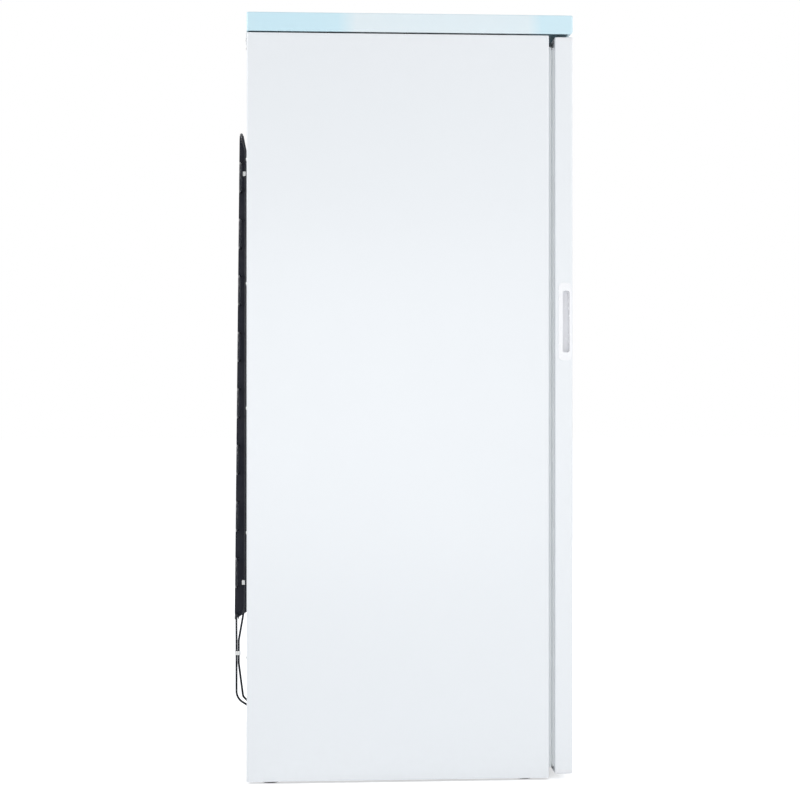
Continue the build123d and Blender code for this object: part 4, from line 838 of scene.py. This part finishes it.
def capillary_line():
    """The thin tube: out of the drier, six and a half turns, then up into the roof."""
    start_y = wall_back - 0.146
    steps = 260
    path = [Vector((riser_x, start_y + 0.014, drier_level))]
    for step in range(steps + 1):
        angle = pi + 2 * pi * capillary_turns * step / steps
        path.append(Vector((riser_x + capillary_loop * (1 + cos(angle)),
                            start_y + capillary_loop * sin(angle),
                            drier_level + capillary_rise * capillary_turns * step / steps)))
    last = path[-1]
    turn_top = Vector((last.x, last.y + 0.028, roof_entry_level))
    corners = [last, last + Vector((0, 0.028, 0.0006)), turn_top]
    return swept_tube(path + bent_path(corners, [line_bend])[1:], capillary_radius, 10)


# Screws, the weld and other small fittings

def screw_head(place, way, radius=0.0036, height=0.0018):
    """A rounded head with a cross recess; returns points and faces."""
    way = Vector(way)
    side = way.orthogonal().normalized()
    over = way.cross(side)
    sides = 40
    slot_reach = 0.6
    slot_half_width = 0.13
    shares = (0.08, 0.2, 0.34, 0.46, 0.56, 0.62, 0.74, 0.86, 0.95, 1.0)
    points = []
    faces = []
    for share in shares:
        for corner in range(sides):
            angle = 2 * pi * corner / sides
            across = share * cos(angle)
            along = share * sin(angle)
            rise = height * sqrt(max(0.0, 1.06 - share * share))
            if share < slot_reach and min(abs(across), abs(along)) < slot_half_width:
                rise -= height * 0.6
            rise = 0.0 if share == 1.0 else rise
            points.append(Vector(place) + (side * across + over * along) * radius + way * rise)
    for index in range(len(shares) - 1):
        faces += ring_faces(index * sides, (index + 1) * sides, sides)
    faces.append(tuple(reversed(range(sides))))
    return points, faces


def back_screws():
    """Screws along the back panel's edges, in the condenser strips and in the worktop's brackets."""
    screws = []
    for side in (-1, 1):
        for level in back_screw_levels:
            screws.append(screw_head((side * back_screw_x, wall_back, level), to_rear))
        for level in strip_screw_levels:
            place = (side * strip_screw_x, wall_back + 0.001, level)
            screws.append(screw_head(place, to_rear, 0.003, 0.0014))
        place = (side * bracket_screw_x, wall_back + 0.0012, bracket_screw_level)
        screws.append(screw_head(place, to_rear))
    for x in (-0.18, 0.0, 0.18):
        screws.append(screw_head((x, wall_back, back_screw_levels[-1]), to_rear))
    return joined(screws)


def hinge_screws():
    places = [(x, cabinet_front - hinge_plate, hinge_screw_level) for x in (0.250, 0.268)]
    return joined([screw_head(place, to_front, 0.0032) for place in places])


def carrier_bolts():
    """Hexagon heads that hold the carrier down on the channels."""
    washer = [(0.0085, 0), (0.0085, 0.0012)]
    head = [(0.0058, 0.0012), (0.0058, 0.0048), (0.005, 0.0056)]
    bolts = []
    for x in (-carrier_bolt_x, carrier_bolt_x):
        for y in (0.170, 0.268):
            bolts.append(turned(washer, (x, y, carrier_top), to_top, 24))
            bolts.append(turned(head, (x, y, carrier_top), to_top, 6))
    return joined(bolts)


def housing_screws():
    places = [(housing_face, y, housing_middle) for y in (-0.213, 0.0105)]
    return joined([screw_head(place, to_left, 0.0034) for place in places])


def shell_oval(reach, level):
    """Points round the compressor's oval at a distance from its middle line."""
    straight = shell_half_length - shell_half_depth
    steps = 24
    path = []
    for side in (1, -1):
        for step in range(steps + 1):
            angle = side * pi / 2 - pi * step / steps
            path.append(Vector((compressor_x + side * straight + reach * cos(angle),
                                compressor_y + reach * sin(angle), level)))
    return path


def shell_weld():
    path = shell_oval(shell_half_depth - 0.0004, shell_seam_level + 0.0004)
    return swept_tube(path, weld_radius, 8, closed=True)


def relay_spring():
    """The steel spring that holds the relay's cover on the compressor."""
    left = compressor_x - shell_half_length - relay_reach
    leg = [(left + 0.046, 0.090), (left + 0.020, 0.096), (left, 0.100)]
    corners = [(x, compressor_y - relay_half_depth, level) for x, level in leg]
    corners += [(x, compressor_y + relay_half_depth, level) for x, level in reversed(leg)]
    return swept_tube(bent_path(corners, [0.02, 0.004, 0.004, 0.02], 6), spring_radius, 8)


def dial_marks():
    """Raised strokes round the thermostat's knob, longer at the cold end."""
    marks = []
    for index in range(dial_strokes):
        angle = radians(dial_start - dial_sweep * index / (dial_strokes - 1))
        length = 0.0012 + 0.0022 * index / (dial_strokes - 1)
        way = Vector((0, -cos(angle), sin(angle)))
        across = Vector((0, sin(angle), cos(angle))) * 0.0004
        middle = Vector((housing_face, knob_y, housing_middle))
        inner = middle + way * dial_radius
        outer = middle + way * (dial_radius + length)
        low = [inner - across, outer - across, outer + across, inner + across]
        high = [corner - Vector((0.0002, 0, 0)) for corner in low]
        marks.append((low + high, [(0, 1, 2, 3), (7, 6, 5, 4), (0, 4, 5, 1),
                                   (1, 5, 6, 2), (2, 6, 7, 3), (3, 7, 4, 0)]))
    return joined(marks)


def dial_numbers(material):
    """The generic numbers 0 to 7 round the dial, as thin raised figures."""
    for number in range(8):
        angle = radians(dial_start - dial_sweep * number / 7)
        figure = bpy.data.curves.new("dial_number_" + str(number), "FONT")
        figure.body = str(number)
        figure.size = 0.0055
        figure.extrude = number_rise
        figure.align_x = "CENTER"
        figure.align_y = "CENTER"
        piece = bpy.data.objects.new("dial_number_" + str(number), figure)
        bpy.context.scene.collection.objects.link(piece)
        piece.location = (housing_face - number_rise, knob_y - number_radius * cos(angle),
                          housing_middle + number_radius * sin(angle))
        piece.rotation_euler = (pi / 2, 0, -pi / 2)
        dress(piece, material)
        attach(piece, "cabinet")


def bulb_cap():
    """The lamp's threaded metal cap."""
    outline = [(0.0061, 0.0)]
    for turn in range(4):
        outline += [(0.0066, 0.0012 + 0.0024 * turn), (0.0061, 0.0024 + 0.0024 * turn)]
    outline += [(0.0052, 0.012)]
    outline = [(radius, -height) for radius, height in outline]
    return turned(outline, (lamp_axis_x, bulb_back, housing_middle), to_rear, 32)


def levelling_foot(x):
    """A ribbed pad on a threaded stud."""
    place = (x, cabinet_front + foot_setback, 0)
    outline = [(0.0165, 0), (0.0183, 0.0006), (0.019, 0.0018), (0.019, 0.0062), (0.0178, 0.0077),
               (0.016, 0.008)]
    pad = turned(outline, place, to_top, 144, 0.0009, 24)
    collar = turned([(0.007, 0.0079), (0.007, 0.0097)], place, to_top, 6)
    thread = [(0.0035, 0.0096)]
    for turn in range(10):
        thread += [(0.004, 0.0102 + 0.00125 * turn), (0.0034, 0.0108 + 0.00125 * turn)]
    return joined([pad, collar, turned(thread, place, to_top, 28)])


def door_seal():
    """The seal as a mitred frame: foot, neck, rounded bellows and the magnet's sleeve.

    The section is in millimetres: inwards from the seal's edge, and back from the door.
    """
    half_section = [(1.6, 0.0), (1.1, 0.4), (1.1, 2.1), (1.6, 2.5), (4.6, 2.8), (4.6, 4.1), (1.5, 4.5),
                    (0.6, 5.1), (0.3, 5.8), (0.5, 6.5), (1.3, 7.0), (0.3, 7.2), (0.0, 7.7), (0.0, 10.1),
                    (0.2, 10.6), (0.6, 10.7)]
    width = 18.0
    section = half_section + [(width - inset, depth) for inset, depth in reversed(half_section)]
    points = []
    for side, level in ((-1, seal_foot), (1, seal_foot), (1, seal_head), (-1, seal_head)):
        for inset, depth in section:
            rise = inset / 1000 if level == seal_foot else -inset / 1000
            points.append((side * (seal_half_width - inset / 1000), door_back + depth / 1000, level + rise))
    count = len(section)
    faces = []
    for corner in range(4):
        faces += ring_faces(corner * count, (corner + 1) % 4 * count, count)
    return points, faces


def place_pieces(made):
    """Add every piece of the scene's own, on its body and in its finish."""
    black = made["black_enamel"]
    screw = made["plated_screw"]
    copper = made["drawn_copper"]
    rubber = made["black_rubber"]
    add_piece("condenser_tube_round", *condenser_passes(), black, "black_enamel", "cabinet")
    add_piece("condenser_wire_grid", *condenser_wire_grid(), black, "black_enamel", "cabinet")
    add_piece("brazed_joints", *brazed_joints(), black, "black_enamel", "cabinet")
    add_piece("hot_gas_line_round", *hot_gas_line(), black, "black_enamel", "cabinet")
    add_piece("outlet_line_round", *outlet_line(), black, "black_enamel", "cabinet")
    add_piece("suction_line_round", *suction_line(), copper, "copper", "cabinet")
    add_piece("capillary_line_round", *capillary_line(), copper, "copper", "cabinet")
    add_piece("seal_mitred", *door_seal(), made["seal_vinyl"], "seal_grey", "door")
    add_piece("left_foot_ribbed", *levelling_foot(-foot_x), rubber, "black_rubber", "foot_left")
    add_piece("right_foot_ribbed", *levelling_foot(foot_x), rubber, "black_rubber", "foot_right")
    add_piece("back_screws", *back_screws(), screw, "galvanised", "cabinet")
    add_piece("bottom_hinge_screws", *hinge_screws(), screw, "galvanised", "cabinet")
    add_piece("carrier_bolts", *carrier_bolts(), screw, "galvanised", "cabinet")
    add_piece("housing_screws", *housing_screws(), screw, "galvanised", "cabinet")
    add_piece("shell_weld", *shell_weld(), made["compressor_black"], "black_enamel", "cabinet")
    add_piece("relay_spring", *relay_spring(), screw, "galvanised", "cabinet")
    add_piece("dial_marks", *dial_marks(), made["grey_moulding"], "grey_moulding", "cabinet")
    add_piece("bulb_cap", *bulb_cap(), screw, "galvanised", "cabinet")
    dial_numbers(made["grey_moulding"])
    replaced = {
        "condenser_tube_round": "condenser_tube",
        "condenser_wire_grid": "condenser_wires",
        "hot_gas_line_round": "hot_gas_tube",
        "outlet_line_round": "condenser_outlet_tube",
        "suction_line_round": "suction_tube",
        "capillary_line_round": "capillary_tube",
        "seal_mitred": "door_gasket",
        "left_foot_ribbed": "levelling_foot_left",
        "right_foot_ribbed": "levelling_foot_right",
    }
    for name, node in replaced.items():
        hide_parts(node)


place_pieces(made)


# Floor, world, lamps and camera

floor_reach = 14.0
floor_glow = 0.54
world_strength = 0.6
aim_height = 0.7
# name, azimuth, distance, height, size, power and tint of each soft panel
soft_panels = [
    ("camera_side_panel", 262, 3.8, 0.4, (3.0, 1.8), 36.5, (1.0, 0.995, 0.985)),
    ("front_panel", 330, 3.2, 1.6, (2.2, 2.4), 22.0, (1.0, 0.99, 0.97)),
    ("rear_panel", 184, 2.8, 2.3, (0.9, 0.9), 26.0, (0.98, 0.99, 1.0)),
    ("far_panel", 60, 3.4, 2.6, (2.2, 2.4), 20.0, (0.98, 0.99, 1.0)),
]


def floor_material():
    """White to the camera, and still darkened by the object's shadow."""
    material, tree, shader = new_material("studio_floor")
    shader.inputs["Base Color"].default_value = (0.92, 0.93, 0.94, 1)
    shader.inputs["Roughness"].default_value = 0.9
    shader.inputs["Specular IOR Level"].default_value = 0.0
    paths = add_node(tree, "ShaderNodeLightPath")
    seen = arithmetic(tree, "MAXIMUM", paths.outputs["Is Camera Ray"], paths.outputs["Is Transmission Ray"])
    glow = add_node(tree, "ShaderNodeEmission")
    glow.inputs["Color"].default_value = (1, 1, 1, 1)
    feed(tree, glow.inputs["Strength"], arithmetic(tree, "MULTIPLY", seen, floor_glow))
    both = add_node(tree, "ShaderNodeAddShader")
    output = tree.nodes["Material Output"]
    tree.links.new(shader.outputs[0], both.inputs[0])
    tree.links.new(glow.outputs[0], both.inputs[1])
    tree.links.new(both.outputs[0], output.inputs[0])
    return material


def make_floor():
    corners = [(x * floor_reach, y * floor_reach, 0) for x, y in ((-1, -1), (1, -1), (1, 1), (-1, 1))]
    mesh = bpy.data.meshes.new("studio_floor")
    mesh.from_pydata(corners, [], [(0, 1, 2, 3)])
    floor = bpy.data.objects.new("studio_floor", mesh)
    bpy.context.scene.collection.objects.link(floor)
    dress(floor, floor_material())


def make_world():
    world = bpy.data.worlds.new("white_studio")
    bpy.context.scene.world = world
    world.use_nodes = True
    tree = world.node_tree
    background = tree.nodes["Background"]
    background.inputs["Color"].default_value = (0.97, 0.985, 1.0, 1)
    background.inputs["Strength"].default_value = world_strength
    white = add_node(tree, "ShaderNodeBackground")
    white.inputs["Color"].default_value = (1, 1, 1, 1)
    white.inputs["Strength"].default_value = 1.0
    paths = add_node(tree, "ShaderNodeLightPath")
    seen = arithmetic(tree, "MAXIMUM", paths.outputs["Is Camera Ray"], paths.outputs["Is Glossy Ray"])
    seen = arithmetic(tree, "MAXIMUM", seen, paths.outputs["Is Transmission Ray"])
    mixed = add_node(tree, "ShaderNodeMixShader")
    feed(tree, mixed.inputs[0], seen)
    tree.links.new(background.outputs[0], mixed.inputs[1])
    tree.links.new(white.outputs[0], mixed.inputs[2])
    tree.links.new(mixed.outputs[0], tree.nodes["World Output"].inputs[0])


def make_lamp(name, azimuth, distance, height, size, power, tint):
    """A large soft panel aimed at the middle of the object."""
    lamp = bpy.data.lights.new(name, "AREA")
    lamp.shape = "RECTANGLE"
    lamp.size, lamp.size_y = size
    lamp.energy = power
    lamp.color = tint
    piece = bpy.data.objects.new(name, lamp)
    bpy.context.scene.collection.objects.link(piece)
    angle = radians(azimuth)
    place = Vector((sin(angle) * distance, -cos(angle) * distance, height))
    aim = Vector((0, 0, aim_height)) - place
    piece.location = place
    piece.rotation_euler = aim.to_track_quat("-Z", "Y").to_euler()


def make_camera():
    camera = bpy.data.cameras.new("photo_camera")
    camera.sensor_width = sensor_width
    camera.lens = focal_pixels / frame_pixels * sensor_width
    camera.shift_x = (frame_pixels / 2 - centre_column) / frame_pixels
    camera.shift_y = (horizon_row - frame_pixels / 2) / frame_pixels
    piece = bpy.data.objects.new("photo_camera", camera)
    bpy.context.scene.collection.objects.link(piece)
    angle = radians(camera_azimuth)
    forward = Vector((-sin(angle), cos(angle), 0))
    piece.location = -forward * camera_distance + Vector((0, 0, camera_height))
    piece.rotation_euler = forward.to_track_quat("-Z", "Y").to_euler()
    bpy.context.scene.camera = piece


make_floor()
make_world()
for panel in soft_panels:
    make_lamp(*panel)
make_camera()

bpy.context.scene.view_settings.view_transform = "Standard"
